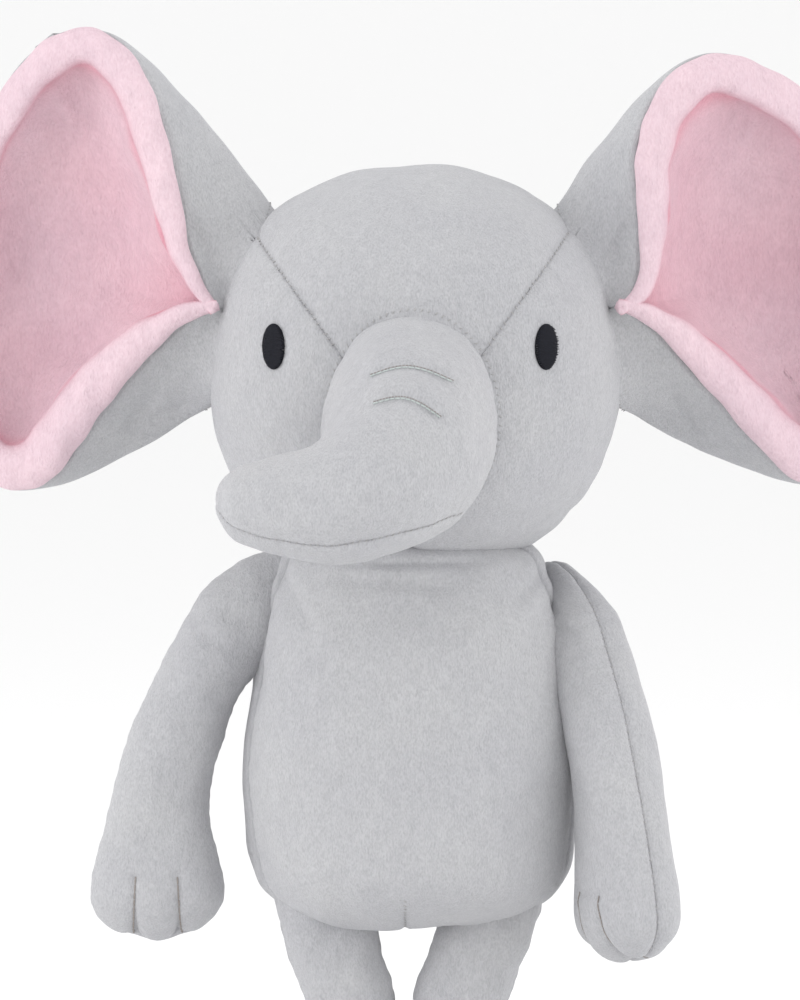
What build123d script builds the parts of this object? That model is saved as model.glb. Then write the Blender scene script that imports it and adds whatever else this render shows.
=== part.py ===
"""Stuffed elephant that stands on two feet: head with a curled trunk and cupped ears, body, arms, legs, tail.

Each cloth panel is its own shell, with the stuffing that fills it as a solid inside. Head, trunk, ears, arms,
legs and tail swing on round stuffed roots that sit in matching hollows. Z is up, the face looks along -Y and
the names left and right are the elephant's own, so left is +X. Lengths are in millimetres.
"""

import os

from build123d import *

# Cloth, thread and clearances
CLOTH = 2.0  # short-pile cloth
SEAM_GAP = 0.3  # between cloth and stuffing, and between two panels at a seam
THREAD = 0.8  # how far embroidery stands up from the cloth
JOINT_GAP = 0.5  # between a stuffed root and its hollow
ROOT_SOFTNESS = 0.4  # rounding of a root's two ends, as a share of its radius
SWING_GAP = 1.0  # between a limb and what it swings past

# Head: two round halves, flat below where the neck closes it
HEAD_BOTTOM_Z = 250.0
HEAD_HEIGHT = 142.0
HEAD_HALF_WIDTH = 77.5
HEAD_HALF_DEPTH = 64.0
HEAD_NECK_HALF_WIDTH = 49.0
FOREHEAD_SEAM_LOW = (26.5, 323.5)  # x and z where a forehead seam meets the trunk
FOREHEAD_SEAM_HIGH = (57.0, 366.0)  # and where it meets the ear
EAR_SEAM_Y = 8.0  # front and back of the head meet here

# Eyes
EYE_X = 50.7
EYE_Z = 324.0
EYE_HALF_WIDTH = 4.4
EYE_HALF_HEIGHT = 8.4

# Neck: a stuffed roll that lies across the body, whose middle is the pivot
NECK_HALF_WIDTH = 46.0
NECK_RADIUS = 36.0

# Body: two round halves, flat above where the neck closes it
BODY_BOTTOM_Z = 101.0
BODY_TOP_Z = 238.0
BODY_HALF_WIDTH = 63.0
BODY_TOP_HALF_WIDTH = 49.5
BODY_HALF_DEPTH = 54.0

# Trunk: hangs from the face and curls to the elephant's right
TRUNK_PIVOT = (1.0, -44.0, 296.0)
TRUNK_ROOT_HALF_WIDTH = 29.0
TRUNK_ROOT_RADIUS = 34.0
TRUNK_REACH = 75.0  # sideways, from the pivot to the tip
TRUNK_FORWARD = 58.0  # from the pivot to the front of the curl's centre line
TRUNK_SEAM_Z = 255.0
TRUNK_LIFT = (-10, 11)  # degrees; further up, the sewn lines would press into the forehead
WRINKLE_ZS = (311.0, 318.5)  # heights of the two lines sewn across the top of the trunk
WRINKLE_WIDTH = 27.0
WRINKLE_THICKNESS = 1.0

# Ears: wide horns, cut open to the front
EAR_PIVOT = (70.0, 6.0, 336.0)
EAR_ROOT_RADIUS = 14.0
EAR_ROOT_HALF_HEIGHT = 30.0
EAR_TIP_X = 188.0
EAR_HALF_HEIGHT = 80.0
EAR_HALF_DEPTH = 38.0
EAR_BATTING = 4.0
EAR_PINCH = (70.0, -22.0)  # x and y where the rim meets the head
EAR_RIM_FAR_Y = 20.0  # y of the rim's plane at the ear's outer edge
EAR_SWING = (-20, 20)

# Arms
ARM_PIVOT = (60.0, 0.0, 222.0)
ARM_ROOT_RADIUS = 16.5
ARM_LENGTH = 126.0
ARM_OUTWARD = 37.0
ARM_HALF_WIDTH = 18.0
ARM_HALF_DEPTH = 16.5
PAW_HALF_WIDTH = 26.0
PAW_HALF_DEPTH = 21.0
LEFT_ARM_TURN = 60.0  # degrees that the left arm is turned to the front

# Toe lines, and the stitches that close the back
STITCH_WIDTH = 1.2
TOE_SPACING = 17.0
ARM_TOE_LENGTH = 22.0
FOOT_TOE_LENGTH = 16.0
FOOT_TOE_Z = 5.0
STITCH_LENGTH = 5.0
CLOSING_Z = 175.0  # middle of the opening that the stuffing went in by
CLOSING_PITCH = 6.0
CLOSING_COUNT = 11

# Legs
HIP_X = 31.0
HIP_Z = 88.0
KNEE_X = 22.0
KNEE_Z = 58.0
FOOT_X = 31.0
LEG_HALF_WIDTH = 18.0
FOOT_HALF_WIDTH = 25.0
FOOT_HALF_LENGTH = 31.0
FOOT_FORWARD = 8.0
SOLE_THICKNESS = 2.0
LEG_SWING = (-30, 65)

# Tail and label
TAIL_PIVOT = (0.0, 52.0, 130.0)
TAIL_RADIUS = 5.0
TAIL_LENGTH = 36.0
TAIL_SWING = (-10, 60)
LABEL_WIDTH = 16.0
LABEL_LENGTH = 5.0
LABEL_THICKNESS = 0.5
LABEL_Z = 125.0
LABEL_X = 22.0

FAR = 400.0  # larger than anything here
SWING_STEPS = 6  # how many times a limb is cleared between its swing's limits
FLANK_FACETS = 14  # flats that stand in for the body's side where an arm hangs by it


def lens_offset(half_width, half_depth):
    """How far before and behind the middle the two halves' own middles stand."""
    return (half_width**2 - half_depth**2) / (2 * half_depth)


def round_bag(outline, offset_y, shrink=0.0):
    """A bag of two round halves: the outline of half the bag, as x and z, turned about two upright axes."""
    widest = max(x for x, z in outline)
    low_z = min(z for x, z in outline)
    high_z = max(z for x, z in outline)
    middle_z = (low_z + high_z) / 2
    keep_x = 1 - shrink / widest
    keep_z = 1 - 2 * shrink / (high_z - low_z)
    half = [(x * keep_x, middle_z + (z - middle_z) * keep_z) for x, z in outline]
    whole = [(-x, z) for x, z in half] + [(x, z) for x, z in reversed(half[:-1])]
    rounds = []
    for y in (-offset_y, offset_y):
        with BuildPart() as turned_half:
            with BuildSketch(Plane.XZ.offset(-y)):
                with BuildLine():
                    edge = Spline(whole)
                    Line(edge @ 1, edge @ 0)
                make_face()
                split(bisect_by=Plane.YZ)
            revolve(axis=Axis((0, y, 0), (0, 0, 1)))
        rounds.append(turned_half.part)
    return rounds[0] & rounds[1]


def stuffed_root(pivot, direction, half_length, radius):
    """The root of a limb, about its hinge: a ball if as long as it is wide, else a roll with soft ends."""
    with BuildPart(Plane(origin=pivot, z_dir=direction)) as root:
        if half_length == radius:
            Sphere(radius)
        else:
            Cylinder(radius, 2 * half_length)
            fillet(root.edges().filter_by(GeomType.CIRCLE), ROOT_SOFTNESS * radius)
    return root.part


def tube(stations, sideways, shrink=0.0):
    """A soft tube through oval stations, each a centre, a direction, a half width and a half depth."""
    with BuildPart() as limb:
        for centre, direction, half_width, half_depth in stations:
            with BuildSketch(Plane(origin=centre, x_dir=sideways, z_dir=direction)):
                Ellipse(half_width - shrink, half_depth - shrink)
        loft(ruled=True)
    return limb.part


def main_solid(shape):
    """The largest solid of a shape, without crumbs that a cut leaves."""
    return shape.solids().sort_by(SortBy.VOLUME)[-1]


def clear_of(limb, obstacle, pivot, direction, swing):
    """The limb less all that would meet the obstacle somewhere between the swing's two limits."""
    low, high = swing
    for step in range(SWING_STEPS + 1):
        angle = low + (high - low) * step / SWING_STEPS
        limb = limb - obstacle.rotate(Axis(pivot, direction), -angle)
    return main_solid(limb)


def layers(stations, sideways, root, obstacle_with_gap, direction, swing):
    """A limb three times: its cloth's outside, the cloth's inside and the stuffing, each with its root."""
    pivot, root_direction, half_length, radius = root
    whole = []
    for shrink in (0, CLOTH, CLOTH + SEAM_GAP):
        obstacle = obstacle_with_gap(SWING_GAP + shrink)
        shaft = clear_of(tube(stations, sideways, shrink), obstacle, pivot, direction, swing)
        ball = stuffed_root(pivot, root_direction, half_length - shrink, radius - shrink)
        whole.append(shaft + ball)
    return whole


def slab(plane, thickness):
    """A slab about a plane, to cut two panels apart along it."""
    with BuildPart() as gap:
        with BuildSketch(plane.offset(-thickness / 2)):
            Rectangle(2 * FAR, 2 * FAR)
        extrude(amount=thickness)
    return gap.part


def side_of(solid, plane, keep):
    """The part of a solid on one side of a plane, half a seam gap away from it."""
    return (solid - slab(plane, SEAM_GAP)).split(plane, keep=keep)


def mirrored(shape):
    """A shape's twin on the elephant's other side."""
    return shape.mirror(Plane.YZ)


pieces = {}


def finish(name, shape):
    """Set a finished piece aside under its name."""
    pieces[name] = shape


# Half the outlines of body and head, from their flat end at the neck, as x and z
body_height = BODY_TOP_Z - BODY_BOTTOM_Z
body_offset = lens_offset(BODY_HALF_WIDTH, BODY_HALF_DEPTH)
body_radius = BODY_HALF_DEPTH + body_offset
body_top_radius = (BODY_TOP_HALF_WIDTH**2 + body_offset**2) ** 0.5
body_outline = [
    (body_top_radius, BODY_TOP_Z),
    (0.92 * body_radius, BODY_TOP_Z - 0.16 * body_height),
    (body_radius, BODY_BOTTOM_Z + 0.44 * body_height),
    (0.93 * body_radius, BODY_BOTTOM_Z + 0.17 * body_height),
    (0.60 * body_radius, BODY_BOTTOM_Z + 0.035 * body_height),
    (0, BODY_BOTTOM_Z),
]
head_offset = lens_offset(HEAD_HALF_WIDTH, HEAD_HALF_DEPTH)
head_radius = HEAD_HALF_DEPTH + head_offset
head_top_z = HEAD_BOTTOM_Z + HEAD_HEIGHT
head_outline = [
    ((HEAD_NECK_HALF_WIDTH**2 + head_offset**2) ** 0.5, HEAD_BOTTOM_Z),
    (0.88 * head_radius, HEAD_BOTTOM_Z + 0.15 * HEAD_HEIGHT),
    (head_radius, HEAD_BOTTOM_Z + 0.44 * HEAD_HEIGHT),
    (0.90 * head_radius, head_top_z - 0.28 * HEAD_HEIGHT),
    (0.58 * head_radius, head_top_z - 0.08 * HEAD_HEIGHT),
    (0, head_top_z),
]
body_cloth = round_bag(body_outline, body_offset)
body_inside = round_bag(body_outline, body_offset, CLOTH)
body_filled = round_bag(body_outline, body_offset, CLOTH + SEAM_GAP)
head_cloth = round_bag(head_outline, head_offset)
head_inside = round_bag(head_outline, head_offset, CLOTH)
head_filled = round_bag(head_outline, head_offset, CLOTH + SEAM_GAP)
head_thread = round_bag(head_outline, head_offset, -THREAD)
upright = (0, 0, 1)
sideways = (1, 0, 0)
forward_swing = (-1, 0, 0)  # a positive angle about this swings a limb forward and up
back_swing = (1, 0, 0)


def head_room(gap):
    """The head with a gap all round, which limbs stay out of."""
    return round_bag(head_outline, head_offset, -gap)


def body_room(gap):
    """The body with a gap all round."""
    return round_bag(body_outline, body_offset, -gap)


def room_beside_body(gap):
    """A block around the body's outline from the front with a gap, running far to the front and back."""
    flank = Spline([((radius**2 - body_offset**2) ** 0.5 + gap, z) for radius, z in body_outline[:-1]])
    facets = [flank @ (step / FLANK_FACETS) for step in range(FLANK_FACETS + 1)]
    with BuildPart() as room:
        with BuildSketch(Plane.XZ.offset(-FAR / 2)):
            with BuildLine():
                Polyline((-FAR / 2, BODY_TOP_Z), *facets, (-FAR / 2, BODY_BOTTOM_Z), close=True)
            make_face()
        extrude(amount=FAR)
    return room.part


# Neck: the roll's upper part stands on the body's flat top, fills a hollow in the head and clears the trunk
neck_pivot = (0, 0, BODY_TOP_Z + SEAM_GAP)
trunk_hollow = stuffed_root(
    TRUNK_PIVOT, sideways, TRUNK_ROOT_HALF_WIDTH + JOINT_GAP, TRUNK_ROOT_RADIUS + JOINT_GAP
)
neck_hollow = stuffed_root(neck_pivot, sideways, NECK_HALF_WIDTH + JOINT_GAP, NECK_RADIUS + JOINT_GAP)
with BuildPart() as neck_stuffing:
    add(stuffed_root(neck_pivot, sideways, NECK_HALF_WIDTH, NECK_RADIUS))
    split(bisect_by=Plane(neck_pivot), keep=Keep.TOP)
    add(trunk_hollow, mode=Mode.SUBTRACT)
finish("neck_stuffing", neck_stuffing.part)

# Trunk
trunk_x, trunk_y, trunk_z = TRUNK_PIVOT
curl_y = trunk_y - TRUNK_FORWARD
trunk_stations = [
    ((trunk_x, trunk_y - 24, trunk_z - 1), (0, -1, 0), 27, 25),
    ((trunk_x - 5, trunk_y - 36, trunk_z - 9), (-0.35, -0.9, -0.25), 29, 29),
    ((trunk_x - 21, curl_y + 8, trunk_z - 22), (-0.8, -0.55, -0.25), 24, 26),
    ((trunk_x - 0.57 * TRUNK_REACH, curl_y, trunk_z - 33), (-1, 0, 0), 18, 20),
    ((trunk_x - 0.81 * TRUNK_REACH, curl_y + 1, trunk_z - 33), (-1, 0.1, 0.1), 14, 16),
    ((trunk_x - 0.94 * TRUNK_REACH, curl_y + 3, trunk_z - 30), (-1, 0.15, 0.2), 9, 11),
    ((trunk_x - TRUNK_REACH, curl_y + 4, trunk_z - 28), (-1, 0.15, 0.2), 3, 4),
]
trunk_root = (TRUNK_PIVOT, sideways, TRUNK_ROOT_HALF_WIDTH, TRUNK_ROOT_RADIUS)
trunk_cloth, trunk_inside, trunk_filled = layers(
    trunk_stations, upright, trunk_root, head_room, forward_swing, TRUNK_LIFT
)
trunk_seam = Plane((0, 0, TRUNK_SEAM_Z))
with BuildPart() as trunk_top_panel:
    add(side_of(trunk_cloth - trunk_inside, trunk_seam, Keep.TOP))
finish("trunk_top_panel", main_solid(trunk_top_panel.part))
with BuildPart() as trunk_underside_panel:
    add(side_of(trunk_cloth - trunk_inside, trunk_seam, Keep.BOTTOM))
finish("trunk_underside_panel", main_solid(trunk_underside_panel.part))
finish("trunk_stuffing", main_solid(trunk_filled))
trunk_thread = tube(trunk_stations, upright, -THREAD) + stuffed_root(
    TRUNK_PIVOT, sideways, TRUNK_ROOT_HALF_WIDTH + THREAD, TRUNK_ROOT_RADIUS + THREAD
)
with BuildPart() as trunk_wrinkle_stitches:
    with BuildSketch(Plane.XZ.offset(-trunk_y)):
        for wrinkle_z in WRINKLE_ZS:
            with Locations((trunk_x, wrinkle_z)):
                Rectangle(WRINKLE_WIDTH, WRINKLE_THICKNESS)
    extrude(amount=FAR)
    add(trunk_thread, mode=Mode.INTERSECT)
    add(trunk_cloth, mode=Mode.SUBTRACT)
finish("trunk_wrinkle_stitches", trunk_wrinkle_stitches.part)

# Ears: built on the left and mirrored
ear_x, ear_y, ear_z = EAR_PIVOT
ear_length = EAR_TIP_X - ear_x
ear_sections = [  # share of the ear's length, height above the pivot, half height, half depth
    (0.00, 0, 0.42, 0.42),
    (0.14, 22, 0.76, 0.79),
    (0.36, 28, 0.97, 0.97),
    (0.58, 19, 1.00, 1.00),
    (0.78, 9, 0.92, 0.94),
    (0.94, 4, 0.68, 0.72),
    (1.00, 3, 0.45, 0.48),
]
ear_stations = [
    (
        (ear_x + share * ear_length, ear_y, ear_z + rise),
        (1, 0, 0),
        height * EAR_HALF_HEIGHT,
        depth * EAR_HALF_DEPTH,
    )
    for share, rise, height, depth in ear_sections
]
pinch_x, pinch_y = EAR_PINCH
rim_run = Vector(EAR_TIP_X - pinch_x, EAR_RIM_FAR_Y - pinch_y, 0)
rim_facing = rim_run.cross(Vector(0, 0, 1))
rim_plane = Plane(origin=(pinch_x, pinch_y, ear_z), x_dir=rim_run, z_dir=rim_facing)
ear_root = stuffed_root(EAR_PIVOT, upright, EAR_ROOT_HALF_HEIGHT, EAR_ROOT_RADIUS)
ear_hollow = stuffed_root(
    EAR_PIVOT, upright, EAR_ROOT_HALF_HEIGHT + JOINT_GAP, EAR_ROOT_RADIUS + JOINT_GAP
)


def ear_layer(depth, thickness):
    """One layer of an ear, this deep below its outside, open to the front and clear of the swinging head."""
    horn = tube(ear_stations, upright, depth) - tube(ear_stations, upright, depth + thickness)
    cup = horn.split(rim_plane, keep=Keep.BOTTOM)
    return clear_of(cup, head_room(SWING_GAP), EAR_PIVOT, upright, EAR_SWING)


batting_depth = CLOTH + SEAM_GAP
lining_depth = batting_depth + EAR_BATTING + SEAM_GAP
with BuildPart() as ear_left_back:
    add(ear_layer(0, CLOTH))
    add(ear_root)
with BuildPart() as ear_left_batting:
    add(ear_layer(batting_depth, EAR_BATTING))
    add(ear_hollow, mode=Mode.SUBTRACT)
with BuildPart() as ear_left_lining:
    add(ear_layer(lining_depth, CLOTH))
    add(ear_hollow, mode=Mode.SUBTRACT)
ear_layers = {"back": ear_left_back, "batting": ear_left_batting, "lining": ear_left_lining}
for layer, piece in ear_layers.items():
    solid = main_solid(piece.part)
    finish(f"ear_left_{layer}", solid)
    finish(f"ear_right_{layer}", mirrored(solid))

# Head
with BuildPart() as head_hollows:
    add([trunk_hollow, neck_hollow, ear_hollow, mirrored(ear_hollow)])
with BuildPart() as head_shell:
    add(head_cloth - head_inside)
    add(head_hollows.part, mode=Mode.SUBTRACT)
low_x, low_z = FOREHEAD_SEAM_LOW
high_x, high_z = FOREHEAD_SEAM_HIGH
seam_run = Vector(high_x - low_x, 0, high_z - low_z)
left_seam = Plane(origin=(low_x, 0, low_z), x_dir=seam_run, z_dir=seam_run.cross(Vector(0, 1, 0)))
right_seam = Plane(
    origin=(-low_x, 0, low_z),
    x_dir=(-seam_run.X, 0, seam_run.Z),
    z_dir=(-left_seam.z_dir.X, 0, left_seam.z_dir.Z),
)
ear_seam = Plane(origin=(0, EAR_SEAM_Y, 0), x_dir=(1, 0, 0), z_dir=(0, 1, 0))
middle = Plane.YZ
face = side_of(head_shell.part, ear_seam, Keep.BOTTOM)
head_back = side_of(head_shell.part, ear_seam, Keep.TOP)
with BuildPart() as forehead_panel:
    add(side_of(side_of(face, left_seam, Keep.TOP), right_seam, Keep.TOP))
with BuildPart() as cheek_panel_left:
    add(side_of(side_of(face, left_seam, Keep.BOTTOM), middle, Keep.TOP))
with BuildPart() as cheek_panel_right:
    add(side_of(side_of(face, right_seam, Keep.BOTTOM), middle, Keep.BOTTOM))
with BuildPart() as head_back_panel_left:
    add(side_of(head_back, middle, Keep.TOP))
with BuildPart() as head_back_panel_right:
    add(side_of(head_back, middle, Keep.BOTTOM))
with BuildPart() as head_stuffing:
    add(head_filled)
    add(head_hollows.part, mode=Mode.SUBTRACT)
finish("forehead_panel", main_solid(forehead_panel.part))
finish("cheek_panel_left", main_solid(cheek_panel_left.part))
finish("cheek_panel_right", main_solid(cheek_panel_right.part))
finish("head_back_panel_left", main_solid(head_back_panel_left.part))
finish("head_back_panel_right", main_solid(head_back_panel_right.part))
finish("head_stuffing", main_solid(head_stuffing.part))
with BuildPart() as eye_left:
    with BuildSketch(Plane.XZ):
        with Locations((EYE_X, EYE_Z)):
            Ellipse(EYE_HALF_WIDTH, EYE_HALF_HEIGHT)
    extrude(amount=FAR)
    add(head_thread - head_cloth, mode=Mode.INTERSECT)
finish("eye_left", eye_left.part)
finish("eye_right", mirrored(eye_left.part))

# Body
arm_x, arm_y, arm_z = ARM_PIVOT
hip_pivot = (HIP_X, 0, HIP_Z)
shoulder_size = ARM_ROOT_RADIUS + JOINT_GAP
hip_size = LEG_HALF_WIDTH + JOINT_GAP
tail_size = TAIL_RADIUS + JOINT_GAP
shoulder_hollow = stuffed_root(ARM_PIVOT, upright, shoulder_size, shoulder_size)
hip_hollow = stuffed_root(hip_pivot, upright, hip_size, hip_size)
tail_hollow = stuffed_root(TAIL_PIVOT, upright, tail_size, tail_size)
with BuildPart() as body_hollows:
    for hollow in (shoulder_hollow, hip_hollow):
        add([hollow, mirrored(hollow)])
    add(tail_hollow)
with BuildPart() as body_shell:
    add(body_cloth - body_inside)
    add(body_hollows.part, mode=Mode.SUBTRACT)
side_seam = Plane(origin=(0, 0, 0), x_dir=(1, 0, 0), z_dir=(0, 1, 0))
body_back = side_of(body_shell.part, side_seam, Keep.TOP)
with BuildPart() as body_front_panel:
    add(side_of(body_shell.part, side_seam, Keep.BOTTOM))
with BuildPart() as body_back_panel_left:
    add(side_of(body_back, middle, Keep.TOP))
with BuildPart() as body_back_panel_right:
    add(side_of(body_back, middle, Keep.BOTTOM))
with BuildPart() as body_stuffing:
    add(body_filled)
    add(body_hollows.part, mode=Mode.SUBTRACT)
finish("body_front_panel", main_solid(body_front_panel.part))
finish("body_back_panel_left", main_solid(body_back_panel_left.part))
finish("body_back_panel_right", main_solid(body_back_panel_right.part))
finish("body_stuffing", main_solid(body_stuffing.part))
with BuildPart() as closing_stitches:
    with BuildSketch(Plane(origin=(0, 0, CLOSING_Z), x_dir=(1, 0, 0), z_dir=(0, 1, 0))):
        with GridLocations(1, CLOSING_PITCH, 1, CLOSING_COUNT):
            Rectangle(STITCH_LENGTH, STITCH_WIDTH)
    extrude(amount=FAR)
    add(round_bag(body_outline, body_offset, -THREAD) - body_cloth, mode=Mode.INTERSECT)
finish("closing_stitches", closing_stitches.part)

# Care label, a blank folded ribbon sewn into the back
with BuildPart() as care_label:
    with BuildSketch(Plane(origin=(LABEL_X, 0, LABEL_Z), x_dir=(0, 1, 0), z_dir=(1, 0, 0))):
        Rectangle(
            BODY_HALF_DEPTH + LABEL_LENGTH, LABEL_WIDTH, align=(Align.MIN, Align.CENTER)
        )
    extrude(amount=LABEL_THICKNESS)
    add(body_cloth, mode=Mode.SUBTRACT)
finish("care_label", main_solid(care_label.part))

# Tail
tail_x, tail_y, tail_z = TAIL_PIVOT
tail_stations = [
    ((tail_x, tail_y + 5, tail_z - 1), (0, 1, -0.4), 0.8 * TAIL_RADIUS, 0.8 * TAIL_RADIUS),
    ((tail_x, tail_y + 11, tail_z - 8), (0, 0.4, -1), 0.8 * TAIL_RADIUS, 0.8 * TAIL_RADIUS),
    ((tail_x, tail_y + 13, tail_z - 0.6 * TAIL_LENGTH), (0, 0, -1), TAIL_RADIUS, TAIL_RADIUS),
    ((tail_x, tail_y + 13, tail_z - 0.9 * TAIL_LENGTH), (0, 0, -1), TAIL_RADIUS, TAIL_RADIUS),
    ((tail_x, tail_y + 13, tail_z - TAIL_LENGTH), (0, 0, -1), 0.5 * TAIL_RADIUS, 0.5 * TAIL_RADIUS),
]
tail_shaft = clear_of(
    tube(tail_stations, sideways), body_room(SWING_GAP), TAIL_PIVOT, back_swing, TAIL_SWING
)
with BuildPart() as tail:
    add(tail_shaft)
    add(stuffed_root(TAIL_PIVOT, upright, TAIL_RADIUS, TAIL_RADIUS))
finish("tail", main_solid(tail.part))


def toe_lines(stations, sideways, centres, bottom, height):
    """Lines of thread that stand on the front of a paw, one at each centre."""
    with BuildPart() as lines:
        with BuildSketch(Plane.XZ):
            for x in centres:
                with Locations((x, bottom)):
                    Rectangle(STITCH_WIDTH, height, align=(Align.CENTER, Align.MIN))
        extrude(amount=FAR)
        add(tube(stations, sideways, -THREAD), mode=Mode.INTERSECT)
        add(tube(stations, sideways), mode=Mode.SUBTRACT)
    return lines.part


# Arms: built straight beside the body on the left, then turned to the front or mirrored
arm_sections = [  # out from the pivot, down, half width, half depth
    (0.10, 0.06, 0.85 * ARM_HALF_WIDTH, 0.92 * ARM_HALF_DEPTH),
    (0.41, 0.16, 0.94 * ARM_HALF_WIDTH, ARM_HALF_DEPTH),
    (0.72, 0.32, 0.97 * ARM_HALF_WIDTH, ARM_HALF_DEPTH),
    (0.91, 0.49, ARM_HALF_WIDTH, 1.02 * ARM_HALF_DEPTH),
    (0.99, 0.65, 0.84 * PAW_HALF_WIDTH, 0.92 * PAW_HALF_DEPTH),
    (1.00, 0.80, PAW_HALF_WIDTH, PAW_HALF_DEPTH),
    (1.00, 0.90, 0.93 * PAW_HALF_WIDTH, 0.92 * PAW_HALF_DEPTH),
    (1.00, 0.97, 0.60 * PAW_HALF_WIDTH, 0.60 * PAW_HALF_DEPTH),
    (1.00, 1.00, 0.22 * PAW_HALF_WIDTH, 0.22 * PAW_HALF_DEPTH),
]
arm_slopes = [0.75, 0.75, 0.5, 0.22, 0.08, 0, 0, 0, 0]  # outward for each step down
arm_stations = [
    (
        (arm_x + out * ARM_OUTWARD, arm_y, arm_z - down * ARM_LENGTH),
        (slope, 0, -1),
        half_depth,
        half_width,
    )
    for (out, down, half_width, half_depth), slope in zip(arm_sections, arm_slopes)
]
to_the_back = (0, 1, 0)
arm_root = (ARM_PIVOT, upright, ARM_ROOT_RADIUS, ARM_ROOT_RADIUS)
turn_axis = Axis(ARM_PIVOT, upright)
for side_name, turn in (("left", -LEFT_ARM_TURN), ("right", 0)):
    arm_cloth, arm_inside, arm_filled = layers(
        arm_stations, to_the_back, arm_root, room_beside_body, upright, (turn, turn)
    )
    with BuildPart() as arm_front_panel:
        add(side_of(arm_cloth - arm_inside, side_seam, Keep.BOTTOM))
    with BuildPart() as arm_back_panel:
        add(side_of(arm_cloth - arm_inside, side_seam, Keep.TOP))
    paw_x = arm_x + ARM_OUTWARD
    paw_stitches = toe_lines(
        arm_stations,
        to_the_back,
        (paw_x - TOE_SPACING / 2, paw_x + TOE_SPACING / 2),
        arm_z - 0.97 * ARM_LENGTH,
        ARM_TOE_LENGTH,
    )
    arm_pieces = {
        "front_panel": main_solid(arm_front_panel.part),
        "back_panel": main_solid(arm_back_panel.part),
        "stuffing": main_solid(arm_filled),
        "toe_stitches": paw_stitches,
    }
    for piece_name, solid in arm_pieces.items():
        solid = solid.rotate(turn_axis, turn)
        finish(f"arm_{side_name}_{piece_name}", mirrored(solid) if side_name == "right" else solid)

# Legs: built on the left and mirrored
leg_sections = [  # x, forward, z, half width, half length
    (HIP_X, 0, HIP_Z - 3, LEG_HALF_WIDTH - 0.5, LEG_HALF_WIDTH - 0.5),
    (0.5 * (HIP_X + KNEE_X) - 1, 0, 0.5 * (HIP_Z + KNEE_Z), LEG_HALF_WIDTH, LEG_HALF_WIDTH),
    (KNEE_X, 0, KNEE_Z, LEG_HALF_WIDTH, LEG_HALF_WIDTH + 1),
    (0.5 * (KNEE_X + FOOT_X), 0.3 * FOOT_FORWARD, 0.6 * KNEE_Z, LEG_HALF_WIDTH + 2, LEG_HALF_WIDTH + 4),
    (FOOT_X, 0.8 * FOOT_FORWARD, 0.3 * KNEE_Z, FOOT_HALF_WIDTH - 1, FOOT_HALF_LENGTH - 3),
    (FOOT_X, FOOT_FORWARD, 0.13 * KNEE_Z, FOOT_HALF_WIDTH, FOOT_HALF_LENGTH),
    (FOOT_X, FOOT_FORWARD, 0, FOOT_HALF_WIDTH - 1, FOOT_HALF_LENGTH - 1),
]
leg_stations = [
    ((x, -forward, z), (0, 0, -1), half_width, half_length)
    for x, forward, z, half_width, half_length in leg_sections
]
leg_root = (hip_pivot, upright, LEG_HALF_WIDTH, LEG_HALF_WIDTH)
leg_cloth, leg_inside, leg_filled = layers(
    leg_stations, sideways, leg_root, body_room, forward_swing, LEG_SWING
)
sole_seam = Plane((0, 0, SOLE_THICKNESS))
leg_seam = Plane(origin=(0, -FOOT_FORWARD / 2, 0), x_dir=(1, 0, 0), z_dir=(0, 1, 0))
leg_shell = side_of(leg_cloth - leg_inside, sole_seam, Keep.TOP)
with BuildPart() as leg_front_panel:
    add(side_of(leg_shell, leg_seam, Keep.BOTTOM))
with BuildPart() as leg_back_panel:
    add(side_of(leg_shell, leg_seam, Keep.TOP))
with BuildPart() as leg_sole:
    add(side_of(leg_cloth, sole_seam, Keep.BOTTOM))
with BuildPart() as leg_stuffing:
    add(side_of(leg_filled, sole_seam, Keep.TOP))
foot_stitches = toe_lines(
    leg_stations,
    sideways,
    (FOOT_X - TOE_SPACING / 2, FOOT_X + TOE_SPACING / 2),
    FOOT_TOE_Z,
    FOOT_TOE_LENGTH,
)
leg_pieces = {
    "front_panel": main_solid(leg_front_panel.part),
    "back_panel": main_solid(leg_back_panel.part),
    "sole": main_solid(leg_sole.part),
    "stuffing": main_solid(leg_stuffing.part),
    "toe_stitches": foot_stitches,
}
for piece_name, solid in leg_pieces.items():
    finish(f"leg_left_{piece_name}", solid)
    finish(f"leg_right_{piece_name}", mirrored(solid))

# The frame's origin is on the floor, under the middle of the whole toy
front_y = min(piece.bounding_box().min.Y for piece in pieces.values())
back_y = max(piece.bounding_box().max.Y for piece in pieces.values())
frame_place = Location((0, -(front_y + back_y) / 2, 0))
print("the pieces move by", frame_place.position)
os.makedirs("parts", exist_ok=True)
for name, shape in pieces.items():
    piece = frame_place * shape
    piece.label = name
    export_step(piece, f"parts/{name}.step")
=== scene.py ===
"""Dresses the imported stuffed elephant: plush skins, seams, embroidery, a ribbon label and a studio."""

from __future__ import annotations

import logging
import math
from collections.abc import Sequence
from dataclasses import dataclass, field
from enum import Enum

import bmesh
import bpy
import numpy as np
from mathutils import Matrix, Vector
from mathutils.bvhtree import BVHTree


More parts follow.
